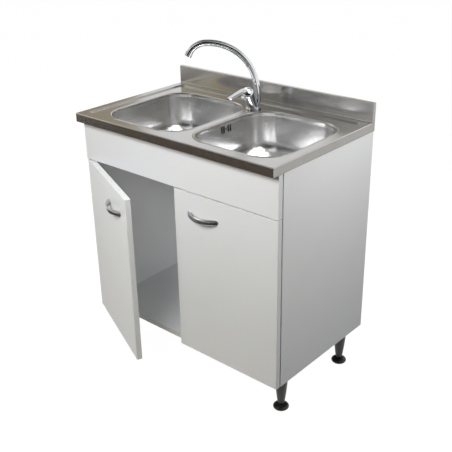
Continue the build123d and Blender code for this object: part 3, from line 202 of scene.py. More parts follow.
class TapSizes(bpy.types.PropertyGroup):
    """The lever tap with its swivel spout."""

    base: size("Base radius", 25.0, "Radius of the tap's base")
    base_height: size("Base height", 7.0, "Height of the tap's base")
    base_round: size("Base rounding", 3.2, "Rounding of the base's rim")
    column: size("Column radius", 19.5, "Radius of the column under the lever")
    neck: size("Neck radius", 16.5, "Radius of the column above the base")
    column_drop: size("Column drop", 2.0, "From the ball's middle to the column's rim")
    shank: size("Shank radius", 16.0, "Radius of the threaded shank under the base")
    thread: size("Shank thread pitch", 1.5, "Pitch of the shank's thread")
    thread_depth: size("Shank thread depth", 0.8, "Depth of the shank's thread")
    ball: size("Ball radius", 19.6, "Radius of the ball that the lever turns on")
    nut_rise: size("Nut rise", 10.0, "Height of the ball's flat top above its middle")
    nut_bore: size("Nut bore", 11.3, "Radius of the hole in the ball's flat top")
    lever: size("Lever radius", 22.8, "Outside radius of the lever's dome")
    lever_bore: size("Lever bore", 20.0, "Inside radius of the lever's dome")
    lever_reach: size("Lever reach", 94.0, "From the ball's middle to the tip of the blade")
    lever_root: size("Lever root width", 30.0, "Width of the blade at the dome")
    lever_tip: size("Lever tip width", 19.0, "Width of the blade at its tip")
    root_thick: size("Root thickness", 12.0, "Thickness of the blade at the dome")
    tip_thick: size("Tip thickness", 6.5, "Thickness of the blade at its tip")
    tip_rise: size("Tip rise", 7.5, "Height of the tip's top above the ball's middle")
    blade_arch: size("Blade arch", 2.2, "Height of the blade's arch along its length")
    blade_camber: size("Blade camber", 1.2, "Fall of the blade's top from its middle to its sides")
    rim_rise: size("Rim rise", 5.6, "Height of the dome's rim above the ball's middle")
    rim_tilt: angle("Rim tilt", 12.5, "How much more the dome's rim leans than the column")
    boss: size("Boss radius", 7.0, "Radius of the boss inside the dome")
    boss_low: size("Boss foot", 17.0, "From the ball's middle to the boss's foot")
    boss_high: size("Boss top", 20.5, "From the ball's middle to the boss's top")
    socket: size("Socket radius", 13.5, "Radius of the socket that holds the spout")
    socket_knee: size("Socket knee", 18.0, "Upright length of the socket")
    spout_base: size("Spout base radius", 12.5, "Radius of the spout at its socket")
    spout: size("Spout radius", 9.85, "Radius of the spout's tube")
    spout_wall: size("Spout wall", 1.5, "Wall of the spout's tube")
    spout_gap: size("Spout gap", 0.1, "Space under the spout, and between the spout and its aerator")
    spout_heading: angle("Spout heading", 226.0, "Direction of the spout, from +X towards +Y")
    spigot: size("Spigot radius", 8.7, "Radius of the spigot that turns in the socket")
    spigot_length: size("Spigot length", 20.0, "Length of the spigot that turns in the socket")
    aerator: size("Aerator radius", 11.5, "Radius of the aerator")
    aerator_length: size("Aerator length", 12.0, "Length of the aerator")


class StudioSettings(bpy.types.PropertyGroup):
    """Camera, lamps and the pale floor."""

    focal: FloatProperty(
        name="Focal length", description="Lens of the camera on its 36 mm sensor", default=61.436
    )
    azimuth: angle("Azimuth", 41.4085, "Direction that the camera looks from, right of the front")
    elevation: angle("Elevation", 25.082, "Height of the camera's direction above the horizon")
    roll: angle("Roll", -1.0673, "Tilt of the camera about its line of sight")
    place: FloatVectorProperty(
        name="Camera place",
        description="Where the camera stands",
        default=(1.53879, -1.73026, 1.56028),
        unit="LENGTH",
    )
    floor_colour: colour("Floor", "#FFFFFF", "The floor and backdrop, as the camera and metal see them")
    floor_level: FloatProperty(
        name="Floor level", description="How white the floor is before light falls", default=0.98
    )
    floor_reach: size("Floor reach", 9000.0, "From the unit to the floor's edge")
    shadow_colour: colour("Floor shadow", "#5A5A5A", "How much light and shadow the floor shows")
    bounce_colour: colour("Floor bounce", "#7C7448", "The light that the floor throws up onto the unit")
    room_colour: colour("Room light", "#FFFFFF", "Colour of the soft light from all round")
    room_level: FloatProperty(name="Room level", description="Strength of the soft light", default=0.15)
    sink_height: size("Sink height", 850.0, "Height that the standing cards are turned to")


# ---------------------------------------------------------------- mesh tools
def soften(corners, steps=6):
    """A 2-D line with rounded corners; each corner is (x, y) or, where it is rounded, (x, y, radius)."""
    points = []
    for i, corner in enumerate(corners):
        here = Vector(corner[:2])
        if len(corner) < 3 or i in (0, len(corners) - 1):
            points.append(here)
            continue
        back = (Vector(corners[i - 1][:2]) - here).normalized()
        on = (Vector(corners[i + 1][:2]) - here).normalized()
        half = back.angle(on) / 2
        start = here + back * (corner[2] / tan(half))
        centre = here + (back + on).normalized() * (corner[2] / sin(half))
        turn = pi - 2 * half
        for k in range(steps + 1):
            step = turn * k / steps
            points.append(centre + (start - centre) * cos(step) - back * corner[2] * sin(step))
    return points


def swell(value, power):
    """A value raised to a power with its sign kept, which squares a circle up."""
    return copysign(abs(value) ** power, value)


def stitch(bm, one, other):
    """Joins two rings of as many vertices, or a ring and a single point, with faces."""
    for k in range(max(len(one), len(other))):
        corners = [one[k % len(one)], one[(k + 1) % len(one)]]
        corners += [other[(k + 1) % len(other)], other[k % len(other)]]
        unique = [v for n, v in enumerate(corners) if v not in corners[:n]]
        if len(unique) > 2:
            bm.faces.new(unique)


def loft(bm, rings, capped=False):
    """Skins a list of rings of points and returns their vertices; capped closes the two ends."""
    made = [[bm.verts.new(point) for point in ring] for ring in rings]
    for one, other in zip(made, made[1:]):
        stitch(bm, one, other)
    if capped:
        bm.faces.new(made[0])
        bm.faces.new(made[-1])
    return made


def strip(bm, lines):
    """Skins a list of open lines of points and returns their vertices."""
    made = [[bm.verts.new(point) for point in line] for line in lines]
    for one, other in zip(made, made[1:]):
        for k in range(len(one) - 1):
            bm.faces.new((one[k], one[k + 1], other[k + 1], other[k]))
    return made


def plate(bm, points):
    """One flat face through points."""
    bm.faces.new([bm.verts.new(point) for point in points])


def fill(bm, *loops):
    """Fills the flat space between an outer loop of vertices and the loops inside it."""
    edges = []
    for loop in loops:
        for one, other in zip(loop, loop[1:] + loop[:1]):
            edges.append(bm.edges.get((one, other)) or bm.edges.new((one, other)))
    bmesh.ops.triangle_fill(bm, use_beauty=True, edges=edges)


def circle(centre, radius, up=UP, steps=56, across=None):
    """Points round a circle that looks along up."""
    across = across or (Vector((1, 0, 0)) if abs(up.x) < 0.9 else Vector((0, 1, 0)))
    first = (across - up * across.dot(up)).normalized()
    second = up.cross(first)
    turns = [2 * pi * k / steps for k in range(steps)]
    return [centre + first * (radius * cos(t)) + second * (radius * sin(t)) for t in turns]


def spin(bm, profile, origin, up=UP, steps=56):
    """Turns (radius, height) points about an axis through the origin."""
    rings = []
    for radius, height in profile:
        centre = origin + up * height
        rings.append([centre] if radius < 1e-6 else circle(centre, radius, up, steps))
    loft(bm, rings)


def rounded_ring(centre, half_x, half_y, corner, corner_steps, straight_steps):
    """Points round a rectangle with round corners, level at the centre's height."""
    arcs = []
    for quarter, (side_x, side_y) in enumerate(((1, 1), (-1, 1), (-1, -1), (1, -1))):
        middle = centre + Vector(((half_x - corner) * side_x, (half_y - corner) * side_y, 0))
        turns = [pi / 2 * (quarter + k / corner_steps) for k in range(corner_steps + 1)]
        arcs.append([middle + Vector((corner * cos(t), corner * sin(t), 0)) for t in turns])
    points = []
    for arc, after in zip(arcs, arcs[1:] + arcs[:1]):
        points += arc
        points += [arc[-1].lerp(after[0], k / straight_steps) for k in range(1, straight_steps)]
    return points


def face_out(bm):
    """Makes the normals agree and look out."""
    bmesh.ops.recalc_face_normals(bm, faces=bm.faces)


def merge(bm):
    """Merges the points that coincide."""
    bmesh.ops.remove_doubles(bm, verts=bm.verts, dist=1e-6)


def round_edges(bm, edges, radius, segments):
    """Rounds edges of a mesh."""
    bmesh.ops.bevel(bm, geom=edges, offset=radius, segments=segments, profile=0.5, affect="EDGES")


def scene_object(name, mesh):
    """A new object in the scene."""
    made = bpy.data.objects.new(name, mesh)
    bpy.context.scene.collection.objects.link(made)
    return made


def mesh_object(name, bm):
    """A new object in the scene that holds a copy of bm."""
    mesh = bpy.data.meshes.new(name)
    bm.to_mesh(mesh)
    return scene_object(name, mesh)


def finished(name, bm, finishes, body, nodes=(), sharp=35, weighted=True):
    """Makes a mesh a named piece: smooth but for its sharp edges, on its body, standing for its nodes."""
    piece = mesh_object(name, bm)
    bm.free()
    for finish_name in finishes:
        piece.data.materials.append(finish(finish_name))
    piece.data.shade_smooth()
    piece.data.set_sharp_from_angle(angle=radians(sharp))
    if weighted:
        normals = piece.modifiers.new("Weighted normals", "WEIGHTED_NORMAL")
        normals.keep_sharp = True
        normals.weight = 100
    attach(piece, body)
    join_light_groups(piece, name)
    if nodes:
        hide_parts(*nodes)


def take_back(bm, piece):
    """Reads a scratch object's final mesh into bm and removes the object."""
    bpy.context.view_layer.update()
    final = bpy.data.meshes.new_from_object(piece.evaluated_get(bpy.context.evaluated_depsgraph_get()))
    bm.from_mesh(final)
    bpy.data.meshes.remove(final)
    discard(piece)


def discard(piece):
    """Removes a scratch object and its mesh."""
    scratch = piece.data
    bpy.data.objects.remove(piece)
    bpy.data.meshes.remove(scratch)


def thicken(bm, thickness):
    """Gives an open skin its sheet thickness under the side that looks up."""
    merge(bm)
    face_out(bm)
    facing = max(bm.faces, key=lambda f: abs(f.normal.z) * f.calc_area())
    if facing.normal.z < 0:
        bmesh.ops.reverse_faces(bm, faces=bm.faces)
    sheet = mesh_object("skin", bm)
    bm.clear()
    solid = sheet.modifiers.new("Sheet", "SOLIDIFY")
    solid.thickness = thickness
    solid.offset = -1
    take_back(bm, sheet)


def cut(bm, cutters):
    """Cuts a closed mesh by the cutters' closed mesh."""
    face_out(cutters)
    whole = mesh_object("whole", bm)
    tool = mesh_object("tool", cutters)
    bm.clear()
    cutters.free()
    boolean = whole.modifiers.new("Cut", "BOOLEAN")
    boolean.operation = "DIFFERENCE"
    boolean.solver = "EXACT"
    boolean.object = tool
    take_back(bm, whole)
    discard(tool)


# ---------------------------------------------------------------- finishes
def add_node(tree, kind, values=None, links=None, **settings):
    """Adds a node with its settings, the values of its sockets and what its sockets are linked to."""
    node = tree.nodes.new(kind)
    for name, setting in settings.items():
        setattr(node, name, setting)
    for socket, value in (values or {}).items():
        node.inputs[socket].default_value = value
    for socket, source in (links or {}).items():
        tree.links.new(source, node.inputs[socket])
    return node


def blank_material(name):
    """A new material whose node tree is empty."""
    material = bpy.data.materials.new(name)
    material.use_nodes = True
    material.node_tree.nodes.clear()
    return material, material.node_tree


def blank_finish(name, sockets):
    """A new material with one principled shader whose constant sockets are set."""
    material, tree = blank_material(name)
    values = {socket.replace("_", " "): value for socket, value in sockets.items()}
    shader = add_node(tree, "ShaderNodeBsdfPrincipled", values)
    add_node(tree, "ShaderNodeOutputMaterial", links={"Surface": shader.outputs["BSDF"]})
    return material, tree, shader, add_node(tree, "ShaderNodeTexCoord").outputs["Object"]


def add_marks(tree, where, grain, detail, stretch=(1, 1, 1)):
    """A finish's marks from 0 to 1, as wide as grain in millimetres, and longer where stretch is small."""
    drawn = add_node(tree, "ShaderNodeMapping", {"Scale": stretch}, {"Vector": where})
    values = {"Scale": 1 / (grain * MM), "Detail": detail}
    return add_node(tree, "ShaderNodeTexNoise", values, {"Vector": drawn.outputs["Vector"]}).outputs["Fac"]


def dress(tree, shader, tone, colours, marks, roughness, spread=(0, 1), relief=None, depth=0):
    """Blends two colours by a tone and two roughnesses by marks, and embosses a relief of a real depth."""
    one, other = colours
    ends = {COLOUR_A: linear(one), COLOUR_B: linear(other)}
    blend = add_node(tree, "ShaderNodeMix", ends, {"Factor": tone}, data_type="RGBA")
    ends = {"From Min": spread[0], "From Max": spread[1], "To Min": roughness[0], "To Max": roughness[1]}
    rough = add_node(tree, "ShaderNodeMapRange", ends, {"Value": marks})
    tree.links.new(blend.outputs[COLOUR_OUT], shader.inputs["Base Color"])
    tree.links.new(rough.outputs["Result"], shader.inputs["Roughness"])
    if depth:
        values = {"Distance": depth * MM, "Strength": 1.0}
        bump = add_node(tree, "ShaderNodeBump", values, {"Height": relief})
        tree.links.new(bump.outputs["Normal"], shader.inputs["Normal"])
    return blend


COLOUR_A, COLOUR_B, COLOUR_OUT = 6, 7, 2  # the sockets of a mix node that take and give colours
METAL = {"Metallic": 1.0}
WAXY = {"IOR": 1.49, "Subsurface_Weight": 0.1, "Subsurface_Scale": 2 * MM}
MILKY = {"IOR": 1.5, "Subsurface_Weight": 0.3, "Subsurface_Scale": MM}
MIDDLE, FULL = (0.3, 0.7), (0, 1)  # the share of the marks' range that the two roughnesses stand for

# Finishes that their marks make: the marks' grain in millimetres and their detail, the two colours, the two
# roughnesses, the depth of the relief in millimetres, the shader's constants, and what else a few need.
MARKED_FINISHES = {
    # Stainless sheet, rolled and satin brushed along its length. Its grit lines are too fine to show, so
    # they are drawn 0.5 mm apart.
    "rolled_stainless": (
        0.5,
        3,
        ("#C9C6C0", "#D6D6D8"),
        (0.15, 0.24),
        0.004,
        METAL,
        {"stretch": (0.02, 1, 1), "clouds": 90},
    ),
    # Stainless sheet drawn into a bowl: satin, with the fine orange peel that deep drawing leaves
    "drawn_stainless": (0.7, 2, ("#D6D6D6", "#DFDFE0"), (0.23, 0.27), 0, METAL, {}),
    # White melamine pressed on chipboard: satin, with the fine pebble of its press plate
    "white_melamine": (1.2, 2, ("#DFE0E2", "#E3E4E5"), (0.36, 0.46), 0.01, {"IOR": 1.5}, {"clouds": 150}),
    # White ABS edging, milled flush with cutter marks along it: smoother than the face and a shade colder
    "edge_band": (
        1.5, 1, ("#D6D8DA", "#DCDEDF"), (0.3, 0.38), 0.008, {"IOR": 1.5}, {"stretch": (1, 1, 0.1)}
    ),
    # Bright chromium plate on a polished casting: a mirror, faintly cool, with a trace of buffing
    "polished_chrome": (4, 2, ("#DADCDF", "#E2E4E6"), (0.03, 0.07), 0, METAL, {}),
    # Satin chromed zinc casting, brushed along the bow: a soft grey with long gentle highlights
    "satin_chrome": (
        0.6, 2, ("#C6C6C8", "#D2D3D5"), (0.24, 0.34), 0.004, METAL, {"stretch": (0.05, 0.3, 1)}
    ),
    # Nickel plate on pressed hinge steel: bright, slightly warm, with faint press marks
    "nickel_plate": (3, 3, ("#BDB7AC", "#CCC7BD"), (0.18, 0.3), 0.01, METAL, {}),
    # Zinc plate on steel: cool grey with blotches where the plating dulls
    "bright_zinc": (6, 4, ("#A3A7AB", "#C0C3C4"), (0.25, 0.42), 0.01, METAL, {}),
    # Polished stainless pressing: brighter than the bowl it sits in
    "polished_strainer": (5, 3, ("#CFD0D1", "#DCDDDE"), (0.08, 0.16), 0, METAL, {}),
    # Dark grey moulded leg: satin, with the fine spark-eroded texture of its mould
    "leg_moulding": (0.9, 2, ("#2E2E2C", "#3B3B38"), (0.36, 0.48), 0.03, {"IOR": 1.46}, {}),
    # Black polypropylene foot: glossy from a polished mould, with a faint flow pattern
    "glossy_foot": (8, 2, ("#121213", "#1C1C1D"), (0.14, 0.26), 0.02, {"IOR": 1.49}, {}),
    # White polypropylene pipe: waxy, a little translucent, with a fine mould texture
    "white_polypropylene": (2, 2, ("#E0E0DC", "#E8E8E5"), (0.3, 0.42), 0.02, WAXY, {}),
    # Black rubber seal: matt, with a dusty bloom
    "black_rubber": (3, 3, ("#161616", "#242423"), (0.7, 0.9), 0.03, {"IOR": 1.52}, {}),
    # Soft vinyl door bumper: milky, with a gentle shine
    "clear_bumper": (4, 1, ("#CFCFC8", "#DADAD4"), (0.22, 0.3), 0, MILKY, {"spread": FULL}),
    # Turned brass: warm metal with the rings of the lathe
    "turned_brass": (0.8, 1, ("#B08D45", "#C9A75C"), (0.22, 0.36), 0.02, METAL, {"stretch": (0.1, 0.1, 1)}),
    # Fluted beech dowel: pale pinkish wood with short dark flecks
    "beech_wood": (
        0.8,
        3,
        ("#B98F63", "#D4B084"),
        (0.6, 0.75),
        0.05,
        {"IOR": 1.45},
        {"stretch": (0.08, 1, 1), "spread": FULL},
    ),
    # Acetal cartridge: off-white and smooth
    "cartridge_polymer": (3, 2, ("#D2D2CA", "#DEDED7"), (0.25, 0.35), 0, {"IOR": 1.48}, {"spread": FULL}),
}


def marked_finish(name):
    """A finish whose roughness, relief and colour follow its marks, or its colour wider clouds."""
    grain, detail, colours, roughness, depth, sockets, more = MARKED_FINISHES[name]
    material, tree, shader, where = blank_finish(name, sockets)
    marks = add_marks(tree, where, grain, detail, more.get("stretch", (1, 1, 1)))
    tone = add_marks(tree, where, more["clouds"], 2) if "clouds" in more else marks
    dress(tree, shader, tone, colours, marks, roughness, more.get("spread", MIDDLE), marks, depth)
    return material


def raw_chipboard():
    """Sawn chipboard: pale and dark wood flakes in glue, rough and dull."""
    material, tree, shader, where = blank_finish("raw_chipboard", {"IOR": 1.45})
    flakes = add_node(tree, "ShaderNodeTexVoronoi", {"Scale": 1 / (2.2 * MM)}, {"Vector": where}).outputs
    tone = add_node(tree, "ShaderNodeSeparateColor", links={"Color": flakes["Color"]}).outputs[0]
    dress(tree, shader, tone, ("#8E6B45", "#C9A878"), tone, (0.75, 0.9), FULL, flakes["Distance"], 0.2)
    return material


def painted_hardboard():
    """Hardboard: painted white towards the cupboard, brown pressed fibre with a mesh print behind."""
    material, tree, shader, where = blank_finish("painted_hardboard", {"IOR": 1.47})
    fibre = add_marks(tree, where, 1.5, 4, (1, 1, 0.4))
    facing = add_node(tree, "ShaderNodeNewGeometry").outputs["Normal"]
    turn = {"vector_type": "NORMAL", "convert_from": "WORLD", "convert_to": "OBJECT"}
    local = add_node(tree, "ShaderNodeVectorTransform", links={"Vector": facing}, **turn).outputs["Vector"]
    behind = add_node(tree, "ShaderNodeSeparateXYZ", links={"Vector": local}).outputs["Y"]
    back = {"From Min": 0.4, "From Max": 0.6, "To Min": 0, "To Max": 1}
    side = add_node(tree, "ShaderNodeMapRange", back, {"Value": behind}).outputs["Result"]
    fibres = {COLOUR_A: linear("#7A5636"), COLOUR_B: linear("#93704A")}
    brown = add_node(tree, "ShaderNodeMix", fibres, {"Factor": fibre}, data_type="RGBA").outputs[COLOUR_OUT]
    paint = dress(tree, shader, side, ("#DCDCDA", "#7A5636"), side, (0.4, 0.75), FULL, fibre, 0.05)
    tree.links.new(brown, paint.inputs[COLOUR_B])
    return material


OTHER_FINISHES = {"raw_chipboard": raw_chipboard, "painted_hardboard": painted_hardboard}


def finish(name):
    """A finish's material, made the first time that it is asked for."""
    made = bpy.data.materials.get(name)
    return made or (OTHER_FINISHES[name]() if name in OTHER_FINISHES else marked_finish(name))


# ---------------------------------------------------------------- the steel top
MOUTH_STEPS = 24  # round a corner of a bowl's mouth, the same for the bead and the bowl that meet there


def bowl_places():
    """The middle of each bowl's mouth, at floor height."""
    bowls = sizes("bowls")
    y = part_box("sink_top")[0].y + bowls.front_margin + bowls.length / 2
    apart = (bowls.gap + bowls.width) / 2
    return {side: Vector((bowls.shift + sign * apart, y, 0)) for side, sign in SIDES}


def recess_level():
    """Height of the recess, from which the bowls go down."""
    top = sizes("top")
    return top.deck - top.recess


def mouth_rings(place, profile, straight_steps):
    """Rings round a bowl's mouth, one for each (offset, height above the floor) of a profile."""
    bowls = sizes("bowls")
    half_x, half_y = bowls.width / 2, bowls.length / 2
    return [
        rounded_ring(place + UP * z, half_x + o, half_y + o, bowls.corner + o, MOUTH_STEPS, straight_steps)
        for o, z in profile
    ]


def press_edges(bm):
    """The folded edges, the upstand and the plates at its ends; returns the deck's open outline."""
    top = sizes("top")
    low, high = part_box("sink_top")
    deck, bend, cove = top.deck, top.bend, top.cove
    side, rear, crest = high.x, high.y, high.z
    splash = rear - top.splash_thick
    inner_side, inner_front = side - bend, low.y + bend
    steps = 6  # over the fold, and round a front corner

    def edge_line(offset, height):
        """From the upstand round the left, the front and the right, out from the flat deck by offset."""
        left, right = -inner_side - offset, inner_side + offset
        points = [Vector((left, splash, height)), Vector((left, splash - cove, height))]
        for start, x in ((pi, -inner_side), (3 * pi / 2, inner_side)):
            for k in range(steps + 1):
                turn = start + pi / 2 * k / steps
                points.append(Vector((x + offset * cos(turn), inner_front + offset * sin(turn), height)))
        return points + [Vector((right, splash - cove, height)), Vector((right, splash, height))]

    hair = 0.01 * MM  # keeps the points of the innermost line's corners apart
    turns = [pi / 2 * k / steps for k in range(steps + 1)]
    # the fold's lines, each with its offset from the flat deck and its height, and the edge's foot
    levels = [(bend * sin(t) or hair, deck - bend * (1 - cos(t))) for t in turns] + [(bend, low.z)]
    edge = strip(bm, [edge_line(offset, height) for offset, height in levels])

    # the cove, upstand, crest and rear lip, drawn from end to end
    cove_line = soften([(splash - 2 * cove, deck), (splash, deck, cove), (splash, deck + 2 * cove)])[1:-1]
    strip(bm, [[(x, y, z) for x in (-inner_side, inner_side)] for y, z in cove_line])
    foot = (splash, deck + cove)
    lip = (rear, crest - top.splash_lip)
    crest_line = soften([foot, (splash, crest, bend), (rear, crest, bend), lip])[1:]
    foot_points = [bm.verts.new((x, *foot)) for x in (-side, -inner_side, inner_side, side)]
    crest_rows = strip(bm, [[(x, y, z) for x in (-side, side)] for y, z in crest_line])
    bm.faces.new(foot_points + crest_rows[0][::-1])

    # the small walls that close the cove's ends, and the plates at the ends of the upstand
    for _, sign in SIDES:
        plate(bm, [(sign * inner_side, y, z) for y, z in [*cove_line, (splash, deck)]])
        notch = [(sign * (inner_side + offset), splash, height) for offset, height in levels[:-1]]
        plate(bm, notch + [(sign * x, *foot) for x in (side, inner_side)])
        end = [(splash, low.z), (splash, deck - bend), foot, *crest_line, (rear, low.z)]
        plate(bm, [(sign * side, y, z) for y, z in end])
    return edge[0][1:-1]


def steel_skin(bm):
    """The top's outer skin, one sheet folded and pressed."""
    top = sizes("top")
    low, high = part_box("sink_top")
    outline = press_edges(bm)

    # the pressed recess
    front = low.y + top.recess_front
    rear = high.y - top.splash_thick - top.recess_rear
    half_x, half_y = high.x - top.recess_side, (rear - front) / 2
    middle = Vector((0, (front + rear) / 2, top.deck))
    flat = 0.6 * MM  # level sheet drawn with the foot of a fold
    slope = top.recess * tan(top.recess_lean)
    press = soften(
        [
            (2 * MM, 0),
            (0, 0, top.recess_fold),
            (-slope, -top.recess, top.recess_foot),
            (-slope - flat, -top.recess),
        ]
    )
    corner = top.recess_corner
    rings = [rounded_ring(middle + UP * z, half_x + o, half_y + o, corner + o, 8, 1) for o, z in press]
    recess = loft(bm, rings)
    merge(bm)
    fill(bm, [v for v in outline if v.is_valid], recess[0])

    # the beads round the bowls' mouths, down to the weld, and the tap's hole
    floor = recess_level()
    bead_crest = top.bead - top.bead_round + 0.1 * MM  # where the bead's outer side meets its crest
    bead = soften(
        [
            (top.bead + flat, 0),
            (top.bead, 0, top.bead_foot),
            (bead_crest, top.bead_rise, top.bead_crown),
            (0, top.bead_rise, top.bead_round),
            (0, -top.skirt),
        ],
        8,
    )
    mouths = [loft(bm, mouth_rings(place + UP * floor, bead, 4))[0] for place in bowl_places().values()]
    tap = tap_frame()["hole"]
    hole = [bm.verts.new(p) for p in circle(Vector((tap.x, tap.y, floor)), top.tap_hole, steps=48)]
    fill(bm, recess[-1], *mouths, hole)


def make_steel_top():
    """The pressed top as one piece."""
    bm = bmesh.new()
    steel_skin(bm)
    thicken(bm, sizes("top").sheet)
    finished("pressed_steel_top", bm, ["rolled_stainless"], "unit", ["sink_top"], 30)


# ---------------------------------------------------------------- bowls
def bowl_profile():
    """Offset from the mouth and height above the floor, from the weld down to the flat of the bowl."""
    bowls = sizes("bowls")
    weld = recess_level() - sizes("top").skirt
    wall_head = weld - bowls.collar
    floor = recess_level() - bowls.depth
    wall_foot = floor + bowls.floor_fall
    lean_in = (wall_head - wall_foot) * tan(bowls.draft)
    flat_reach = bowls.floor_round + 12 * MM  # past the rounding, where the dish towards the drain starts
    dish_rise = bowls.floor_fall * 0.4  # how high above the drain it starts
    return soften(
        [
            (0, weld),
            (0, wall_head, bowls.collar_round),
            (-lean_in, wall_foot, bowls.floor_round),
            (-lean_in - flat_reach, floor + dish_rise),
        ],
        10,
    )


def make_bowl(side):
    """One drawn bowl, from its weld under the bead to its drain hole."""
    bowls = sizes("bowls")
    place = bowl_places()[side]
    floor = recess_level() - bowls.depth
    profile = bowl_profile()
    rings = mouth_rings(place, profile, 8)

    # the dish, whose rings turn from the bowl's outline to the drain's circle
    seat_edge = bowls.seat_radius + 1.5 * MM  # where the dish ends, outside the seat's fold
    seat_lean = 0.5 * MM  # how much wider the seat is at its top
    flat_level = profile[-1][1]
    spokes = [Vector((point.x - place.x, point.y - place.y, 0)) for point in rings[-1]]
    directions = [spoke.normalized() for spoke in spokes]
    dish_steps = 8
    for k in range(1, dish_steps + 1):
        share = k / dish_steps
        base = place + UP * (flat_level + (floor - flat_level) * share)
        rings.append([base + spoke.lerp(out * seat_edge, share) for spoke, out in zip(spokes, directions)])
    seat = soften(
        [
            (seat_edge, floor),
            (bowls.seat_radius + seat_lean, floor, bowls.seat_round),
            (bowls.seat_radius, floor - bowls.seat, bowls.seat_round),
            (bowls.drain_radius, floor - bowls.seat),
        ],
        4,
    )
    for radius, height in seat[1:]:
        rings.append([place + out * radius + UP * height for out in directions])
    bm = bmesh.new()
    loft(bm, rings)
    thicken(bm, sizes("top").sheet)
    if side == "right":
        cut(bm, overflow_cutters(place))
    finished(f"drawn_{side}_bowl", bm, ["drawn_stainless"], "unit", [f"{side}_bowl"], 30)


def overflow_cutters(place):
    """What pierces the bowl's left wall: four upright slots, and a screw hole between them."""
    bowls = sizes("bowls")
    wall = place.x - bowls.width / 2
    start, end = wall - 6 * MM, wall + 14 * MM  # well outside the leaning wall and well inside
    middle = Vector((0, place.y + bowls.slot_shift, recess_level() - bowls.slot_drop))
    radius = bowls.slot_width / 2
    straight = bowls.slot_height / 2 - radius
    steps = 8
    outlines = []
    for n in (-2, -1, 1, 2):
        outline = []
        for first, lift in ((0, straight), (pi, -straight)):
            turns = [first + pi * k / steps for k in range(steps + 1)]
            outline += [(n * bowls.slot_pitch + radius * cos(t), lift + radius * sin(t)) for t in turns]
        outlines.append(outline)
    turns = [2 * pi * k / 24 for k in range(24)]
    outlines.append([(bowls.slot_screw * cos(t), bowls.slot_screw * sin(t)) for t in turns])
    cutters = bmesh.new()
    for outline in outlines:
        loft(cutters, [[middle + Vector((x, y, z)) for y, z in outline] for x in (start, end)], capped=True)
    return cutters


def make_overflow_shade_cup():
    """A black rubber cup inside the overflow box: painted shade. A real rubber seal sits there, but this is
    a closed cup whose black stands in for the dark inside the box, seen through the slots.
    """
    bowls = sizes("bowls")
    place = bowl_places()["right"]
    drop = bowls.slot_drop - sizes("top").skirt
    outside = place.x - bowls.width / 2 - sizes("top").sheet + drop * tan(bowls.draft)
    back = Vector((-cos(bowls.draft), 0, -sin(bowls.draft)))
    high = Vector((-sin(bowls.draft), 0, cos(bowls.draft)))
    start = Vector((outside, place.y + bowls.slot_shift, recess_level() - bowls.slot_drop))
    start += back * bowls.liner_gap

    def ring(depth, inset):
        half_y, half_z = bowls.liner_length / 2 - inset, bowls.liner_height / 2 - inset
        flat = rounded_ring(Vector(), half_y, half_z, bowls.liner_corner - inset, 8, 2)
        return [start + back * depth + Vector((0, p.x, 0)) + high * p.y for p in flat]

    depth, wall = bowls.liner_depth, bowls.liner_wall
    bm = bmesh.new()
    loft(bm, [ring(depth, 0), ring(0, 0), ring(0, wall), ring(depth - wall, wall)], capped=True)
    face_out(bm)
    # black rubber like the real seal, closed as a cup so that the slots show its black as painted shade
    finished("overflow_shade_cup", bm, ["black_rubber"], "unit", (), 40, False)


# ---------------------------------------------------------------- boards
BOARD_FINISHES = ("white_melamine", "edge_band", "raw_chipboard")
FACE, BAND, SAWN = range(3)  # their places in that list


def board_side(normal, thick, raw):
    """Which finish a board's face takes, by the axis of its thickness and the ways its raw edges look."""
    if abs(normal[thick]) > 0.9:
        return FACE
    return SAWN if any(normal.dot(Vector(way)) > 0.9 for way in raw) else BAND


def draw_up(bm, outline, low, high):
    """Draws an outline in plan up from one height to another."""
    loft(bm, [[Vector((x, y, z)) for x, y in outline] for z in (low, high)], capped=True)
    face_out(bm)


def make_board(name, node, thick, raw, outline=None):
    """A board on its solid's plan, or on an outline, banded but for its raw edges."""
    low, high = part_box(node)
    outline = outline or [(low.x, low.y), (high.x, low.y), (high.x, high.y), (low.x, high.y)]
    bm = bmesh.new()
    draw_up(bm, outline, low.z, high.z)
    round_edges(bm, list(bm.edges), sizes("cabinet").edge_round, 3)
    for face in bm.faces:
        face.material_index = board_side(face.normal, thick, raw)
    finished(name, bm, BOARD_FINISHES, "unit", [node], 30)


def make_boards():
    """Sides with a rebate for the back, bottom, rear rail and fascia."""
    rebate = sizes("cabinet").rebate
    back_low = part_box("back_panel")[0].y
    rear, up, down = (0, 1, 0), (0, 0, 1), (0, 0, -1)
    for side, sign in SIDES:
        low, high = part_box(f"{side}_side_panel")
        inner, outer = (high.x, low.x) if sign < 0 else (low.x, high.x)
        notch = inner + sign * rebate
        outline = [(inner, low.y), (outer, low.y), (outer, high.y)]
        outline += [(notch, high.y), (notch, back_low), (inner, back_low)]
        make_board(f"{side}_side_board", f"{side}_side_panel", 0, [rear, up, down], outline)
    make_board("bottom_board", "bottom_panel", 2, [rear])
    make_board("rear_rail_board", "rear_rail", 1, [up, down])
    make_board("fascia_board", "fascia_panel", 1, [up])


# ---------------------------------------------------------------- doors
def door_frame(side, sign):
    """A door's own frame: x along it from the pin, y into the cabinet, z up from the floor."""
    hinge = JOINTS[f"{side}_door_hinge"]
    open_by = radians(-hinge["range_deg"][0])
    along = Vector((-sign * cos(open_by), -sin(open_by), 0))
    into = Vector((-sign * sin(open_by), cos(open_by), 0))
    matrix = Matrix((along, into, UP)).transposed().to_4x4()
    matrix.translation = (*hinge["pos_m"][:2], 0)
    return matrix


def from_pin(node):
    """How far along a door the middle of a node stands from the pin, from the closed right door."""
    low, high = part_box(node)
    return JOINTS["right_door_hinge"]["pos_m"][0] - (low.x + high.x) / 2


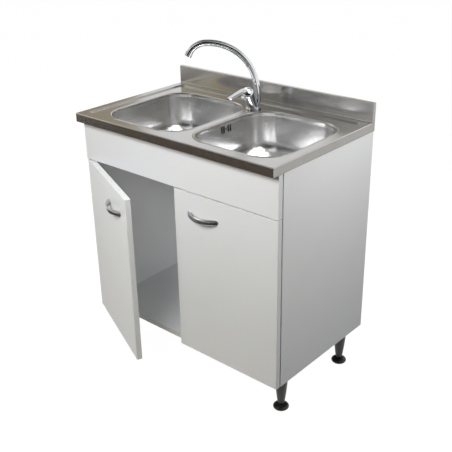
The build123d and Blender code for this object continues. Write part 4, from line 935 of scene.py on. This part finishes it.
def hinge_heights():
    """The heights of a door's two hinges, from the ends of its lower and upper pins."""
    heights = sorted({round(v.co.z, 5) for v in frame["nodes"]["left_hinge_pins"].data.vertices})
    gap = max(range(len(heights) - 1), key=lambda k: heights[k + 1] - heights[k])
    half_pin = (heights[gap] - heights[0]) / 2
    low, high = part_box("left_hinge_pins")
    return low.z + half_pin, high.z - half_pin


def height_between_ends(edge):
    """The difference in height between an edge's ends."""
    return abs(edge.verts[0].co.z - edge.verts[1].co.z)


def make_door(side, sign):
    """A door with bored cups, banded all round."""
    cabinet = sizes("cabinet")
    low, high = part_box("right_door_panel")
    start, end = -cabinet.pin_from_edge, high.x - low.x - cabinet.pin_from_edge
    front, back = cabinet.pin_from_back - cabinet.board, cabinet.pin_from_back
    bm = bmesh.new()
    draw_up(bm, ((start, front), (end, front), (end, back), (start, back)), low.z, high.z)
    round_edges(bm, [e for e in bm.edges if height_between_ends(e) > 0.1], cabinet.door_round, 5)
    round_edges(bm, [e for e in bm.edges if height_between_ends(e) < 1e-6], cabinet.edge_round, 3)
    cutters = bmesh.new()
    cup_x, radius, depth = from_pin("right_hinge_cups"), cabinet.cup_radius, cabinet.cup_depth
    for height in hinge_heights():
        bore = [(0, -depth), (radius, -depth), (radius, MM), (0, MM)]
        spin(cutters, bore, Vector((cup_x, back, height)), Vector((0, 1, 0)), 48)
    cut(bm, cutters)
    face_out(bm)
    for face in bm.faces:
        middle = face.calc_center_median()
        at_cup = abs(middle.x - cup_x) < radius * 1.01 and face.normal.y < 0.5
        bored = at_cup and abs(middle.y) < cabinet.board / 2 - MM / 2  # between the door's two faces
        face.material_index = SAWN if bored else board_side(face.normal, 1, ())
    bm.transform(door_frame(side, sign))
    face_out(bm)
    finished(f"{side}_door", bm, BOARD_FINISHES, f"{side}_door", [f"{side}_door_panel"], 30)


def make_handle(side, sign):
    """A bow handle: a crowned band that leaves the door, bows out and comes back."""
    cabinet = sizes("cabinet")
    low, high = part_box("right_handle")
    middle = Vector((from_pin("right_handle"), cabinet.pin_from_back - cabinet.board, (low.z + high.z) / 2))
    half = cabinet.handle_length / 2
    foot = half - cabinet.handle_foot
    end_round = cabinet.handle_band / 2

    # the outer arc and, inside it, the arc of the hollow between the two feet
    outer = (half**2 + cabinet.handle_bow**2) / (2 * cabinet.handle_bow)
    hollow_bow = cabinet.handle_bow - cabinet.handle_thick
    inner = (foot**2 + hollow_bow**2) / (2 * hollow_bow)
    stations, around = 48, 24
    tall_power, crown_power = 0.8, 0.6  # below 1 they flatten the band's edges and its crown
    rings = []
    for k in range(stations + 1):
        along = -cos(pi * k / stations) * half * 0.9995  # just short of where the arc meets the door
        out = sqrt(outer**2 - along**2) - outer + cabinet.handle_bow
        hollow = sqrt(max(inner**2 - along**2, 0)) - inner + hollow_bow if abs(along) < foot else 0
        past = max(abs(along) - half + end_round, 0)
        tall = sqrt(max(end_round**2 - past**2, 1e-8))
        ring = []
        for n in range(around):
            turn = 2 * pi * n / around
            depth = (out + hollow) / 2 + (out - hollow) / 2 * swell(sin(turn), crown_power)
            ring.append(middle + Vector((along, -depth, tall * swell(cos(turn), tall_power))))
        rings.append(ring)
    bm = bmesh.new()
    loft(bm, rings, capped=True)
    bm.transform(door_frame(side, sign))
    face_out(bm)
    name = f"{side}_bow_handle"
    finished(name, bm, ["satin_chrome"], f"{side}_door", [f"{side}_handle"], 50, False)


# ---------------------------------------------------------------- legs
def leg_places():
    """Each leg's row, side and place on the floor."""
    places = []
    for row in ("front", "rear"):
        for side, _ in SIDES:
            low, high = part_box(f"foot_{row}_{side}")
            places.append((row, side, Vector(((low.x + high.x) / 2, (low.y + high.y) / 2, 0))))
    return places


def leg_profile(low, high):
    """A leg's outline: a parabola through its neck, its waist at half height and its top."""
    legs = sizes("legs")
    steps = 16
    flare = []
    for k in range(1, steps):
        share = k / steps
        radius = (
            legs.neck * (1 - share) * (1 - 2 * share)
            + legs.waist * 4 * share * (1 - share)
            + legs.column_top * share * (2 * share - 1)
        )
        flare.append((radius, low + (high - low) * share))
    stem_hole = legs.stem * 1.02
    profile = [(stem_hole, low), (legs.neck - legs.edge, low), (legs.neck, low + legs.edge), *flare]
    return profile + [(legs.column_top, high - legs.top_edge), (legs.column_top - legs.top_edge, high)]


def make_legs():
    """Columns in one piece, flanges in another, and a rounded foot on a threaded stem for each corner."""
    legs = sizes("legs")
    columns, flanges = bmesh.new(), bmesh.new()
    low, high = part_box("leg_columns")
    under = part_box("leg_sockets")[1].z
    collar_foot = under - legs.socket_height + 0.2 * MM  # a hair short of the solid's foot
    collar = soften(
        [
            (legs.column_top - MM, collar_foot),
            (legs.column_top + legs.collar, collar_foot, legs.edge),
            (legs.socket, under - legs.collar, legs.edge),
            (legs.socket, under),
        ]
    )
    for _, _, place in leg_places():
        spin(columns, leg_profile(low.z, high.z), place)
        spin(flanges, collar, place)
    parts = (("flared_legs", columns, "leg_columns"), ("leg_flanges", flanges, "leg_sockets"))
    for name, bm, node in parts:
        face_out(bm)
        finished(name, bm, ["leg_moulding"], "unit", [node], 40, False)
    for row, side, place in leg_places():
        make_foot(row, side, place)


def make_foot(row, side, place):
    """One rounded foot with its threaded stem."""
    legs = sizes("legs")
    shoulder = legs.foot_height - legs.shoulder_drop
    shoulder_radius = legs.foot * 0.75
    middle = shoulder / 2
    sole_edge, sole_rise = 0.8 * MM, 0.3 * MM  # the broken edge where it meets the floor
    profile = [(0, 0), (legs.sole - sole_edge, 0), (legs.sole, sole_rise)]
    steps = 16
    for k in range(1, steps):
        share = k / steps
        height = shoulder * share
        bulge = 1 - ((height - middle) / middle) ** 2
        edge = legs.sole + (shoulder_radius - legs.sole) * share
        profile.append((edge + (legs.foot - edge) * bulge**0.9, height))
    profile += [(shoulder_radius, shoulder), (legs.neck, legs.foot_height), (legs.stem, legs.foot_height)]
    turns = int((legs.stem_length - 2 * MM) / legs.thread)
    base = legs.foot_height + MM
    crest = legs.stem - 0.1 * MM  # the thread's, clear of the leg's hole
    for k in range(turns):
        profile.append((crest, base + legs.thread * k))
        profile.append((crest - legs.thread_depth, base + legs.thread * (k + 0.5)))
    profile.append((0, base + legs.thread * turns))
    bm = bmesh.new()
    spin(bm, profile, place)
    face_out(bm)
    body, node = f"{row}_{side}_foot", f"foot_{row}_{side}"
    finished(body, bm, ["glossy_foot"], body, [node], 40, False)


# ---------------------------------------------------------------- tap
def tap_frame():
    """The tap's places: its hole, the ball's middle, the column's lean and foot, and the spout's socket."""
    pivot = Vector(JOINTS["lever_lift"]["pos_m"])
    up = Vector(JOINTS["lever_turn"]["axis"]).normalized()
    low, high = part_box("tap_base_seal")
    hole = Vector(((low.x + high.x) / 2, (low.y + high.y) / 2, high.z))
    foot = pivot - up * ((pivot.z - hole.z) / up.z)
    socket = Vector(JOINTS["spout_swivel"]["pos_m"])
    return {"hole": hole, "pivot": pivot, "up": up, "foot": foot, "socket": socket}


def add_base(bm, tap, place):
    """The tap's round base."""
    fillet, overlap = 3 * MM, 2 * MM  # the fold up to the column, and how far it runs out and in
    base = soften(
        [
            (0, 0),
            (tap.base, 0),
            (tap.base, tap.base_height, tap.base_round),
            (tap.neck + overlap, tap.base_height, fillet),
            (tap.neck - overlap, tap.base_height + fillet),
        ],
        8,
    )
    spin(bm, base, place["hole"], steps=72)


def add_column(bm, tap, place):
    """The leaning column, whose rings turn from level at its foot to square with its lean at the rim."""
    up, foot = place["up"], place["foot"]
    rim = place["pivot"] - up * tap.column_drop
    steps = 20
    waist = 0.8 * MM  # how far it draws in at half its height
    flare, flare_fall = 4 * MM, 22  # how far it spreads at its foot, and how fast that dies away
    rings = []
    for k in range(steps + 1):
        share = k / steps
        radius = tap.neck + (tap.column - tap.neck) * share - waist * sin(pi * share)
        radius += flare * exp(-share * flare_fall)
        rings.append(circle(foot.lerp(rim, share), radius, UP.slerp(up, share), 72))
    for radius in (tap.column - 0.5 * MM, tap.ball - 1.5 * MM):  # the rim's edge, and in under the ball
        rings.append(circle(rim, radius, up, 72))
    column = loft(bm, rings)
    bm.faces.new(column[-1][::-1])


def add_socket(bm, tap, place):
    """The knee behind the column, with a groove round it, that carries the spout."""
    socket = place["socket"]
    foot = place["hole"] + UP * 2 * MM  # inside the base
    knee = socket - UP * tap.socket_knee
    waist = 0.6 * MM  # how far it draws in between them
    steps = 12
    rings = []
    for k in range(steps + 1):
        share = k / steps
        rings.append(circle(foot.lerp(knee, share), tap.socket - waist * sin(pi * share)))
    groove, groove_depth, groove_width = tap.socket_knee * 0.45, 0.7 * MM, 2.2 * MM
    crown = soften(
        [
            (tap.socket, 0),
            (tap.socket, groove, 0.4 * MM),
            (tap.socket - groove_depth, groove + groove_depth),
            (tap.socket - groove_depth, groove + groove_width - groove_depth),
            (tap.socket, groove + groove_width),
            (tap.socket, tap.socket_knee, 0.8 * MM),
            (tap.spout_base - 3.5 * MM, tap.socket_knee),
        ]
    )
    rings += [circle(knee + UP * height, radius) for radius, height in crown[1:]]
    loft(bm, rings)


def add_shank(bm, tap, place):
    """The threaded shank that goes down through the sink, with a rounded end."""
    hole = place["hole"]
    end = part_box("tap_body")[0].z - hole.z
    profile = soften([(0, end), (tap.shank, end, MM), (tap.shank, 0)])[:-1]
    height = profile[-1].y + MM
    while height < -4 * MM:  # the thread stops short of the base
        profile += [(tap.shank, height), (tap.shank - tap.thread_depth, height + tap.thread / 2)]
        height += tap.thread
    spin(bm, profile + [(tap.shank, 0)], hole)


def make_tap_body():
    """Base, leaning column, socket and shank."""
    tap = sizes("tap")
    place = tap_frame()
    bm = bmesh.new()
    for add in (add_base, add_column, add_socket):
        add(bm, tap, place)
    merge(bm)
    face_out(bm)
    add_shank(bm, tap, place)
    finished("tap_casting", bm, ["polished_chrome"], "unit", ["tap_body"], 35, False)


def ball_arc(radius, start, end, steps):
    """(radius, height) points of a ball's outline from one angle above its middle to another."""
    turns = [start + (end - start) * k / steps for k in range(steps + 1)]
    return [(radius * cos(t), radius * sin(t)) for t in turns]


def make_ball_nut():
    """The polished ball band between the column and the lever."""
    tap = sizes("tap")
    place = tap_frame()
    profile = [(tap.ball - 2 * MM, -tap.column_drop)]
    profile += ball_arc(tap.ball, asin(-tap.column_drop / tap.ball), asin(tap.nut_rise / tap.ball), 12)
    profile.append((tap.nut_bore, tap.nut_rise))
    bm = bmesh.new()
    spin(bm, profile, place["pivot"], place["up"], 72)
    face_out(bm)
    finished("ball_nut", bm, ["polished_chrome"], "unit", ["cartridge_nut"], 35, False)


def lever_dome():
    """The dome's outline, over its outside to the crown and down its inside to the rim."""
    tap = sizes("tap")
    level = tap.rim_rise * cos(tap.rim_tilt)
    break_turn = 0.02  # the rim's broken edge, in radians
    rim = asin(level / tap.lever)
    outside = ball_arc(tap.lever, rim + break_turn, pi / 2, 18)
    inside = ball_arc(tap.lever_bore, pi / 2, asin(level / tap.lever_bore), 12)[1:]
    return [(tap.lever * cos(rim) - 0.4 * MM, level), *outside, (0, tap.lever_bore), *inside]


def blade_section(tap, pivot, share):
    """One ring of the lever's blade, from inside the dome at share 0 to the tip at share 1."""
    inside = 0.16  # where the blade starts, as a share of the lever's reach
    y = pivot.y - tap.lever_reach * (inside + (1 - inside) * share)
    run = (pivot.y - y) / tap.lever_reach
    crest, tip_top = pivot.z + tap.lever, pivot.z + tap.tip_rise
    crown = crest + (tip_top - crest) * run + tap.blade_arch * sin(pi * run) * (1 - run)
    thin_from = 0.8  # of the reach, where the blade has its tip's thickness
    thick = tap.root_thick + (tap.tip_thick - tap.root_thick) * min(1, run / thin_from)
    round_start, end_width = 0.94, 0.72  # where the tip starts to round off, and how wide it ends
    end = max(0.0, (share - round_start) / (1 - round_start))
    half = (tap.lever_root + (tap.lever_tip - tap.lever_root) * run) / 2
    half *= end_width + (1 - end_width) * sqrt(max(1 - end**2, 0))
    around = 32
    ring = []
    for n in range(around):
        turn = 2 * pi * n / around
        x = half * swell(cos(turn), 0.5)
        z = thick / 2 * swell(sin(turn), 0.5)
        camber = -tap.blade_camber * (x / half) ** 2 if z > 0 else 0
        ring.append(Vector((pivot.x + x, y, crown - thick / 2 + z + camber)))
    return ring


def make_lever():
    """The lever: a dome over the ball that runs out into a slim blade."""
    tap = sizes("tap")
    place = tap_frame()
    pivot, up = place["pivot"], place["up"]
    lean = asin(-up.y) + tap.rim_tilt
    bm = bmesh.new()
    spin(bm, lever_dome(), pivot, Vector((0, -sin(lean), cos(lean))), 72)
    stations = 28
    loft(bm, [blade_section(tap, pivot, k / stations) for k in range(stations + 1)], capped=True)
    boss = soften([(0, tap.boss_low), (tap.boss, tap.boss_low, 0.5 * MM), (tap.boss, tap.boss_high)])
    spin(bm, boss, pivot, up, 32)
    face_out(bm)
    finished("lever_handle", bm, ["polished_chrome"], "lever_handle", ["lever"], 40, False)


# The spout's riser, shoulder and crook: the angles from upright where each starts and ends, in degrees, and
# its radius in millimetres.
SPOUT_BENDS = ((0, 14.5, 205), (14.5, 92, 158), (92, 150, 58))


def spout_line():
    """The spout's centreline as (along, up, angle from upright), and how many steps its riser takes."""
    along, height = 0.0, 0.0
    line = [(along, height, 0.0)]
    lengths = []
    for start, end, radius in SPOUT_BENDS:
        count = max(6, int((end - start) / 2.5))
        turns = [radians(start + (end - start) * k / count) for k in range(count + 1)]
        for one, two in zip(turns, turns[1:]):
            along += radius * MM * (cos(one) - cos(two))
            height += radius * MM * (sin(two) - sin(one))
            line.append((along, height, two))
        lengths.append(count)
    return line, lengths[0]


def make_spout():
    """The riser and its bends as one polished tube, with the aerator at its end."""
    tap = sizes("tap")
    socket = tap_frame()["socket"]
    forward = Vector((cos(tap.spout_heading), sin(tap.spout_heading), 0))
    across = forward.cross(UP)
    line, riser_steps = spout_line()
    edge_in, edge_up = 1.2 * MM, 0.8 * MM  # the broken edge at its foot
    rings = [circle(socket + UP * tap.spout_gap, tap.spout_base - edge_in, across=across)]
    for i, (along, height, turn) in enumerate(line):
        taper = min(1.0, i / riser_steps) ** 0.8
        radius = tap.spout_base + (tap.spout - tap.spout_base) * taper
        centre = socket + forward * along + UP * (height + tap.spout_gap + (edge_up if i == 0 else 0))
        flow = forward * sin(turn) + UP * cos(turn)
        rings.append(circle(centre, radius, flow, across=across))
    bm = bmesh.new()
    loft(bm, rings, capped=True)
    spigot = [(0, -tap.spigot_length), (tap.spigot, -tap.spigot_length), (tap.spigot, tap.spout_gap)]
    spin(bm, spigot, socket, steps=40)
    face_out(bm)
    finished("swan_neck_spout", bm, ["polished_chrome"], "spout_arm", ["spout"], 40, False)

    bore, length = tap.spout - tap.spout_wall, tap.aerator_length
    screen = length - 3 * MM  # how deep the screen lies in its mouth
    groove, groove_depth, groove_round = length * 0.25, 0.5 * MM, 0.3 * MM
    shell = soften(
        [
            (tap.spout - 0.5 * MM, tap.spout_gap),
            (tap.aerator, tap.spout_gap, 0.8 * MM),
            (tap.aerator, groove, groove_round),
            (tap.aerator - groove_depth, groove + groove_depth, groove_round),
            (tap.aerator, groove + 2 * groove_depth, groove_round),
            (tap.aerator, length, 0.6 * MM),
            (bore, length, 0.4 * MM),
            (bore, screen),
            (0, screen),
        ],
        4,
    )
    bm = bmesh.new()
    spin(bm, shell, centre, flow)
    face_out(bm)
    finished("spout_aerator", bm, ["polished_chrome"], "spout_arm", ["aerator"], 40, False)


# ---------------------------------------------------------------- solids that keep their shape
CARRIED_OVER = (
    ("painted_hardboard", "hardboard", "back_panel"),
    ("beech_wood", "beech", "wood_dowels"),
    ("bright_zinc", "zinc_steel", "fascia_brackets sink_clips hinge_plate_screws"),
    ("bright_zinc", "zinc_steel", "left_door_screws right_door_screws"),
    ("nickel_plate", "nickel", "hinge_plates left_hinge_arms right_hinge_arms left_hinge_cups"),
    ("nickel_plate", "nickel", "right_hinge_cups left_hinge_pins right_hinge_pins"),
    ("clear_bumper", "seal_rubber", "left_door_bumpers right_door_bumpers"),
    ("polished_strainer", "strainer_steel", "left_waste_strainer right_waste_strainer waste_screws"),
    ("polished_strainer", "strainer_steel", "left_basket_plug right_basket_plug"),
    ("black_rubber", "seal_rubber", "waste_gaskets tap_base_seal"),
    ("white_polypropylene", "pipe_plastic", "left_waste_body right_waste_body waste_link_pipe waste_tee"),
    ("white_polypropylene", "pipe_plastic", "trap_body trap_cup trap_outlet_pipe slip_nuts"),
    ("white_polypropylene", "pipe_plastic", "overflow_fitting overflow_pipe"),
    ("turned_brass", "tap_brass", "tap_backnut lever_spindle"),
    ("cartridge_polymer", "cartridge_plastic", "tap_cartridge lever_carrier"),
)


def dress_carried_over():
    """Gives every solid that keeps its shape its finish."""
    for finish_name, slot, nodes in CARRIED_OVER:
        for node in nodes.split():
            solid = frame["nodes"][node]
            solid.data.materials.clear()
            solid.data.materials.append(finish(finish_name))
            join_light_groups(solid, node)


# ---------------------------------------------------------------- studio
# Cards that stand round the unit and show only in its metal: the azimuth and elevation that their middle is
# seen at from the sink, in degrees, their distance, width and height in metres, and their tone.
STANDING_CARDS = (
    ("camera_side_card", 41, 22, 3.2, 7.0, 3.2, "#1A1A19"),
    ("rear_card", 214, 26, 4.4, 4.4, 4.4, "#1E1E1E"),
    ("rear_left_card", 245, 16, 3.4, 1.5, 2.2, "#A39A86"),
    ("rear_right_card", 198, 16, 3.4, 0.9, 2.2, "#B4AF96"),
    ("front_left_card", -55, 16, 3.4, 1.3, 1.9, "#CBC2A9"),
    ("front_middle_card", -38, 16, 3.4, 0.75, 1.9, "#7E7E7A"),
    ("front_right_card", -26.5, 16, 3.4, 0.6, 1.9, "#C2C2BC"),
    ("left_high_card", -64, 48, 3.4, 2.2, 1.4, "#77756E"),
    ("rear_right_high_card", 152, 43, 3.4, 2.6, 1.0, "#B4B4B0"),
    ("ceiling_card", 90, 89, 2.6, 3.4, 3.4, "#7A7A78"),
)
# Cards that lie just above the floor and show only in the metal: their near left and far right corners in
# metres, and their tone.
FLOOR_CARDS = (
    ("front_left_floor_card", (-3.2, -3.2), (0.2, -0.5), "#4A4034"),
    ("front_right_floor_card", (0.2, -3.6), (3.6, -0.5), "#1D1B19"),
    ("rear_left_floor_card", (-3.4, 0.7), (0.2, 3.6), "#1D1D1C"),
    ("rear_right_floor_card", (0.8, 0.5), (3.4, 3.2), "#C6C6C2"),
)
# Black cloth laid beside the unit, which takes the floor's bounce off the foot of its right side.
FLOOR_FLAG = ("right_floor_flag", (0.42, -0.5), (1.7, 0.7), "#060606")
# Soft lamps: place, the point that they look at, width and height in metres, power in watts, the angle that
# they spread over in degrees, and whether the metal shows them.
SOFTBOXES = (
    ("overhead_softbox", (0.25, 0.1, 2.2), (0.05, 0, 0.8), 0.9, 0.8, 8, 180, True),
    ("bowl_right_softbox", (1.41, -0.12, 2.54), (0.05, 0, 0.8), 1.3, 1.1, 36, 180, True),
    ("bowl_left_softbox", (-1.38, 0.5, 2.48), (0.05, 0, 0.8), 1.3, 1.2, 15, 180, True),
    ("deck_softbox", (-1.65, 2.74, 2.6), (0, 0, 0.85), 3.2, 3.4, 29, 180, True),
    ("front_softbox", (0.1, -1.5, 1.7), (0, -0.25, 0.8), 1.2, 0.6, 29, 180, False),
    ("right_softbox", (1.2, 0.25, 1.65), (0.4, 0.1, 0.95), 0.7, 0.6, 8.5, 130, False),
    ("top_softbox", (0.1, -0.3, 2.2), (0, 0, 0.8), 0.9, 0.8, 3.5, 180, False),
    ("left_softbox", (-1.6, -0.1, 1.6), (-0.4, 0.1, 0.6), 0.9, 0.7, 9, 180, False),
    ("rear_softbox", (-0.2, 1.9, 1.5), (0, 0.2, 0.5), 1.0, 0.7, 13, 180, False),
    ("cupboard_fill", (0.28, 0.08, 0.36), (-0.4, 0.1, 0.3), 0.2, 0.3, 0.55, 180, False),
    ("handle_softbox", (-0.81, -1.3, 1.35), (0.15, -0.3, 0.72), 0.7, 0.5, 9, 180, True),
)
# Lamps that light some pieces alone, as a photographer flags a lamp off the rest.
BOWLS_AND_LEVER = ("drawn_left_bowl", "drawn_right_bowl", "lever_handle")
DRAINS = ("left_waste_strainer", "right_waste_strainer", "left_basket_plug", "right_basket_plug")
LIT_APART = {
    "overhead_softbox": BOWLS_AND_LEVER + DRAINS,
    "bowl_right_softbox": BOWLS_AND_LEVER,
    "bowl_left_softbox": BOWLS_AND_LEVER,
    "deck_softbox": ("pressed_steel_top", "lever_handle"),
    "handle_softbox": ("right_bow_handle",),
}


def light_group(lamp):
    """The pieces that a lamp lights alone."""
    return bpy.data.collections.get(lamp) or bpy.data.collections.new(lamp)


def join_light_groups(piece, name):
    """Puts a piece with the others that its lamps light alone."""
    for lamp, lit in LIT_APART.items():
        if name in lit:
            light_group(lamp).objects.link(piece)


def seen_or_lit(tree, kind, seen, lit):
    """One shader for camera, glossy and transmission rays, another for the rays that light the unit."""
    rays = add_node(tree, "ShaderNodeLightPath").outputs
    share = rays["Is Camera Ray"]
    for ray in ("Is Glossy Ray", "Is Transmission Ray"):
        either = add_node(tree, "ShaderNodeMath", links={0: share, 1: rays[ray]}, operation="MAXIMUM")
        share = either.outputs[0]
    mix = add_node(tree, "ShaderNodeMixShader", links={0: share, 1: lit.outputs[0], 2: seen.outputs[0]})
    add_node(tree, kind, links={"Surface": mix.outputs[0]})


def studio_floor(settings):
    """The pale floor: white with the unit's shadow where it is seen, duller where it lights the unit."""
    material, tree = blank_material("studio_floor")
    bounce = add_node(tree, "ShaderNodeBsdfDiffuse", {"Color": settings.bounce_colour[:]})
    shadowed = add_node(tree, "ShaderNodeBsdfDiffuse", {"Color": settings.shadow_colour[:]})
    white = {"Color": settings.floor_colour[:], "Strength": settings.floor_level}
    glow = add_node(tree, "ShaderNodeEmission", white)
    pale = add_node(tree, "ShaderNodeAddShader", links={0: shadowed.outputs[0], 1: glow.outputs[0]})
    seen_or_lit(tree, "ShaderNodeOutputMaterial", pale, bounce)
    return material


def studio_world(settings):
    """White where it is seen, and a soft even light from all round."""
    world = bpy.data.worlds.new("studio")
    bpy.context.scene.world = world
    world.use_nodes = True
    tree = world.node_tree
    tree.nodes.clear()
    white = add_node(tree, "ShaderNodeBackground", {"Color": settings.floor_colour[:], "Strength": 1.0})
    room = {"Color": settings.room_colour[:], "Strength": settings.room_level}
    seen_or_lit(tree, "ShaderNodeOutputWorld", white, add_node(tree, "ShaderNodeBackground", room))


def card_tone(name, hex_colour):
    """The even tone of a card, whatever light falls on it."""
    material, tree = blank_material(name)
    tone = add_node(tree, "ShaderNodeEmission", {"Color": linear(hex_colour), "Strength": 1.0})
    add_node(tree, "ShaderNodeOutputMaterial", links={"Surface": tone.outputs[0]})
    return material


def flat_sheet(name, corners, material):
    """A flat stage sheet through four corners."""
    bm = bmesh.new()
    plate(bm, corners)
    sheet = mesh_object(name, bm)
    bm.free()
    sheet.data.materials.append(material)
    return sheet


def toned_card(name, corners, hex_colour, unseen_ray):
    """A toned card that only glossy or only diffuse rays see, and that throws no shadow."""
    card = flat_sheet(name, corners, card_tone(name, hex_colour))
    for ray in ("camera", "shadow", "transmission", "volume_scatter", unseen_ray):
        setattr(card, f"visible_{ray}", False)


def level_corners(near, far, height):
    """The corners of a level rectangle, from its near left and far right ones."""
    (left, front), (right, rear) = near, far
    return [(left, front, height), (right, front, height), (right, rear, height), (left, rear, height)]


def direction(azimuth, elevation):
    """The unit vector from the sink towards an azimuth, from the front to the right, and an elevation."""
    return Vector((sin(azimuth) * cos(elevation), -cos(azimuth) * cos(elevation), sin(elevation)))


def place_cards(settings):
    """Stands and lays the cards that the metal shows, and the cloth that takes light off the right side."""
    sink = Vector((0, 0, settings.sink_height))
    for name, azimuth, elevation, distance, width, height, tone in STANDING_CARDS:
        back = direction(radians(azimuth), radians(elevation))
        across = UP.cross(back).normalized() * (width / 2)
        upward = back.cross(across).normalized() * (height / 2)
        middle = sink + back * distance
        ends = ((-1, -1), (1, -1), (1, 1), (-1, 1))
        toned_card(name, [middle + across * u + upward * v for u, v in ends], tone, "diffuse")
    for name, near, far, tone in FLOOR_CARDS:
        toned_card(name, level_corners(near, far, 10 * MM), tone, "diffuse")
    name, near, far, tone = FLOOR_FLAG
    toned_card(name, level_corners(near, far, 5 * MM), tone, "glossy")


def softbox(name, place, target, width, height, power, spread, shown):
    """A rectangular soft lamp that looks at a point."""
    lamp = bpy.data.lights.new(name, "AREA")
    lamp.shape = "RECTANGLE"
    lamp.size, lamp.size_y = width, height
    lamp.energy = power
    lamp.spread = radians(spread)
    holder = scene_object(name, lamp)
    holder.location = place
    holder.rotation_euler = (Vector(target) - Vector(place)).to_track_quat("-Z", "Y").to_euler()
    holder.visible_camera = False
    holder.visible_glossy = shown
    if name in LIT_APART:
        holder.light_linking.receiver_collection = light_group(name)


def stand_camera(settings):
    """The camera at the photograph's place, direction and tilt."""
    lens = bpy.data.cameras.new("camera")
    lens.lens = settings.focal
    lens.sensor_width = 36
    lens.clip_end = 60
    camera = scene_object("camera", lens)
    back = direction(settings.azimuth, settings.elevation)
    level_right = (-back).cross(UP).normalized()
    level_up = level_right.cross(-back)
    right = level_right * cos(settings.roll) + level_up * sin(settings.roll)
    upward = level_up * cos(settings.roll) - level_right * sin(settings.roll)
    matrix = Matrix((right, upward, back)).transposed().to_4x4()
    matrix.translation = Vector(settings.place)
    camera.matrix_world = matrix
    bpy.context.scene.camera = camera


def make_studio():
    """Camera, world, lamps, floor and cards."""
    settings = sizes("studio")
    bpy.context.scene.view_settings.view_transform = "Standard"
    stand_camera(settings)
    studio_world(settings)
    reach = settings.floor_reach
    flat_sheet("floor", level_corners((-reach, -reach), (reach, reach), 0), studio_floor(settings))
    for lamp in SOFTBOXES:
        softbox(*lamp)
    place_cards(settings)


# ---------------------------------------------------------------- operators and panel
class SINK_OT_studio(bpy.types.Operator):
    """Set up the camera, lamps and pale floor"""

    bl_idname = "sink.studio"
    bl_label = "Studio"

    def execute(self, context):
        make_studio()
        return {"FINISHED"}


class SINK_OT_steel_top(bpy.types.Operator):
    """Press the steel top with its upstand, recess and beads"""

    bl_idname = "sink.steel_top"
    bl_label = "Steel top"

    def execute(self, context):
        make_steel_top()
        return {"FINISHED"}


class SINK_OT_bowls(bpy.types.Operator):
    """Draw the two bowls and pierce the overflow"""

    bl_idname = "sink.bowls"
    bl_label = "Bowls"

    def execute(self, context):
        for side, _ in SIDES:
            make_bowl(side)
        make_overflow_shade_cup()
        return {"FINISHED"}


class SINK_OT_boards(bpy.types.Operator):
    """Cut and band the cabinet's boards"""

    bl_idname = "sink.boards"
    bl_label = "Boards"

    def execute(self, context):
        make_boards()
        return {"FINISHED"}


class SINK_OT_doors(bpy.types.Operator):
    """Hang the two doors with their bow handles"""

    bl_idname = "sink.doors"
    bl_label = "Doors and handles"

    def execute(self, context):
        for side, sign in SIDES:
            make_door(side, sign)
            make_handle(side, sign)
        return {"FINISHED"}


class SINK_OT_legs(bpy.types.Operator):
    """Mould the legs and their feet"""

    bl_idname = "sink.legs"
    bl_label = "Legs and feet"

    def execute(self, context):
        make_legs()
        return {"FINISHED"}


class SINK_OT_tap(bpy.types.Operator):
    """Cast the tap, its lever and its spout"""

    bl_idname = "sink.tap"
    bl_label = "Tap"

    def execute(self, context):
        make_tap_body()
        make_ball_nut()
        make_lever()
        make_spout()
        return {"FINISHED"}


class SINK_OT_carried_over(bpy.types.Operator):
    """Finish the hinges, pipes, screws and other solids that keep their shape"""

    bl_idname = "sink.carried_over"
    bl_label = "Hinges, pipes and screws"

    def execute(self, context):
        dress_carried_over()
        return {"FINISHED"}


STEPS = (
    SINK_OT_studio,
    SINK_OT_steel_top,
    SINK_OT_bowls,
    SINK_OT_boards,
    SINK_OT_doors,
    SINK_OT_legs,
    SINK_OT_tap,
    SINK_OT_carried_over,
)


class SINK_PT_maker(bpy.types.Panel):
    """Every step of the sink unit, in order"""

    bl_label = "Kitchen Sink Unit"
    bl_idname = "SINK_PT_maker"
    bl_space_type = "VIEW_3D"
    bl_region_type = "UI"
    bl_category = "Sink Unit"

    def draw(self, context):
        for step in STEPS:
            self.layout.operator(step.bl_idname)


SETTINGS = (
    ("sink_top", SteelTopSizes),
    ("sink_bowls", BowlSizes),
    ("sink_cabinet", CabinetSizes),
    ("sink_legs", LegSizes),
    ("sink_tap", TapSizes),
    ("sink_studio", StudioSettings),
)


def register():
    """Registers the settings, the operators and the panel."""
    for name, group in SETTINGS:
        bpy.utils.register_class(group)
        setattr(bpy.types.Scene, name, PointerProperty(type=group))
    for step in STEPS:
        bpy.utils.register_class(step)
    bpy.utils.register_class(SINK_PT_maker)


def unregister():
    """Takes them all back."""
    bpy.utils.unregister_class(SINK_PT_maker)
    for step in reversed(STEPS):
        bpy.utils.unregister_class(step)
    for name, group in reversed(SETTINGS):
        delattr(bpy.types.Scene, name)
        bpy.utils.unregister_class(group)


def main():
    """Makes every piece in order."""
    register()
    for step in STEPS:
        family, verb = step.bl_idname.split(".")
        getattr(getattr(bpy.ops, family), verb)()


if __name__ == "__main__":
    main()
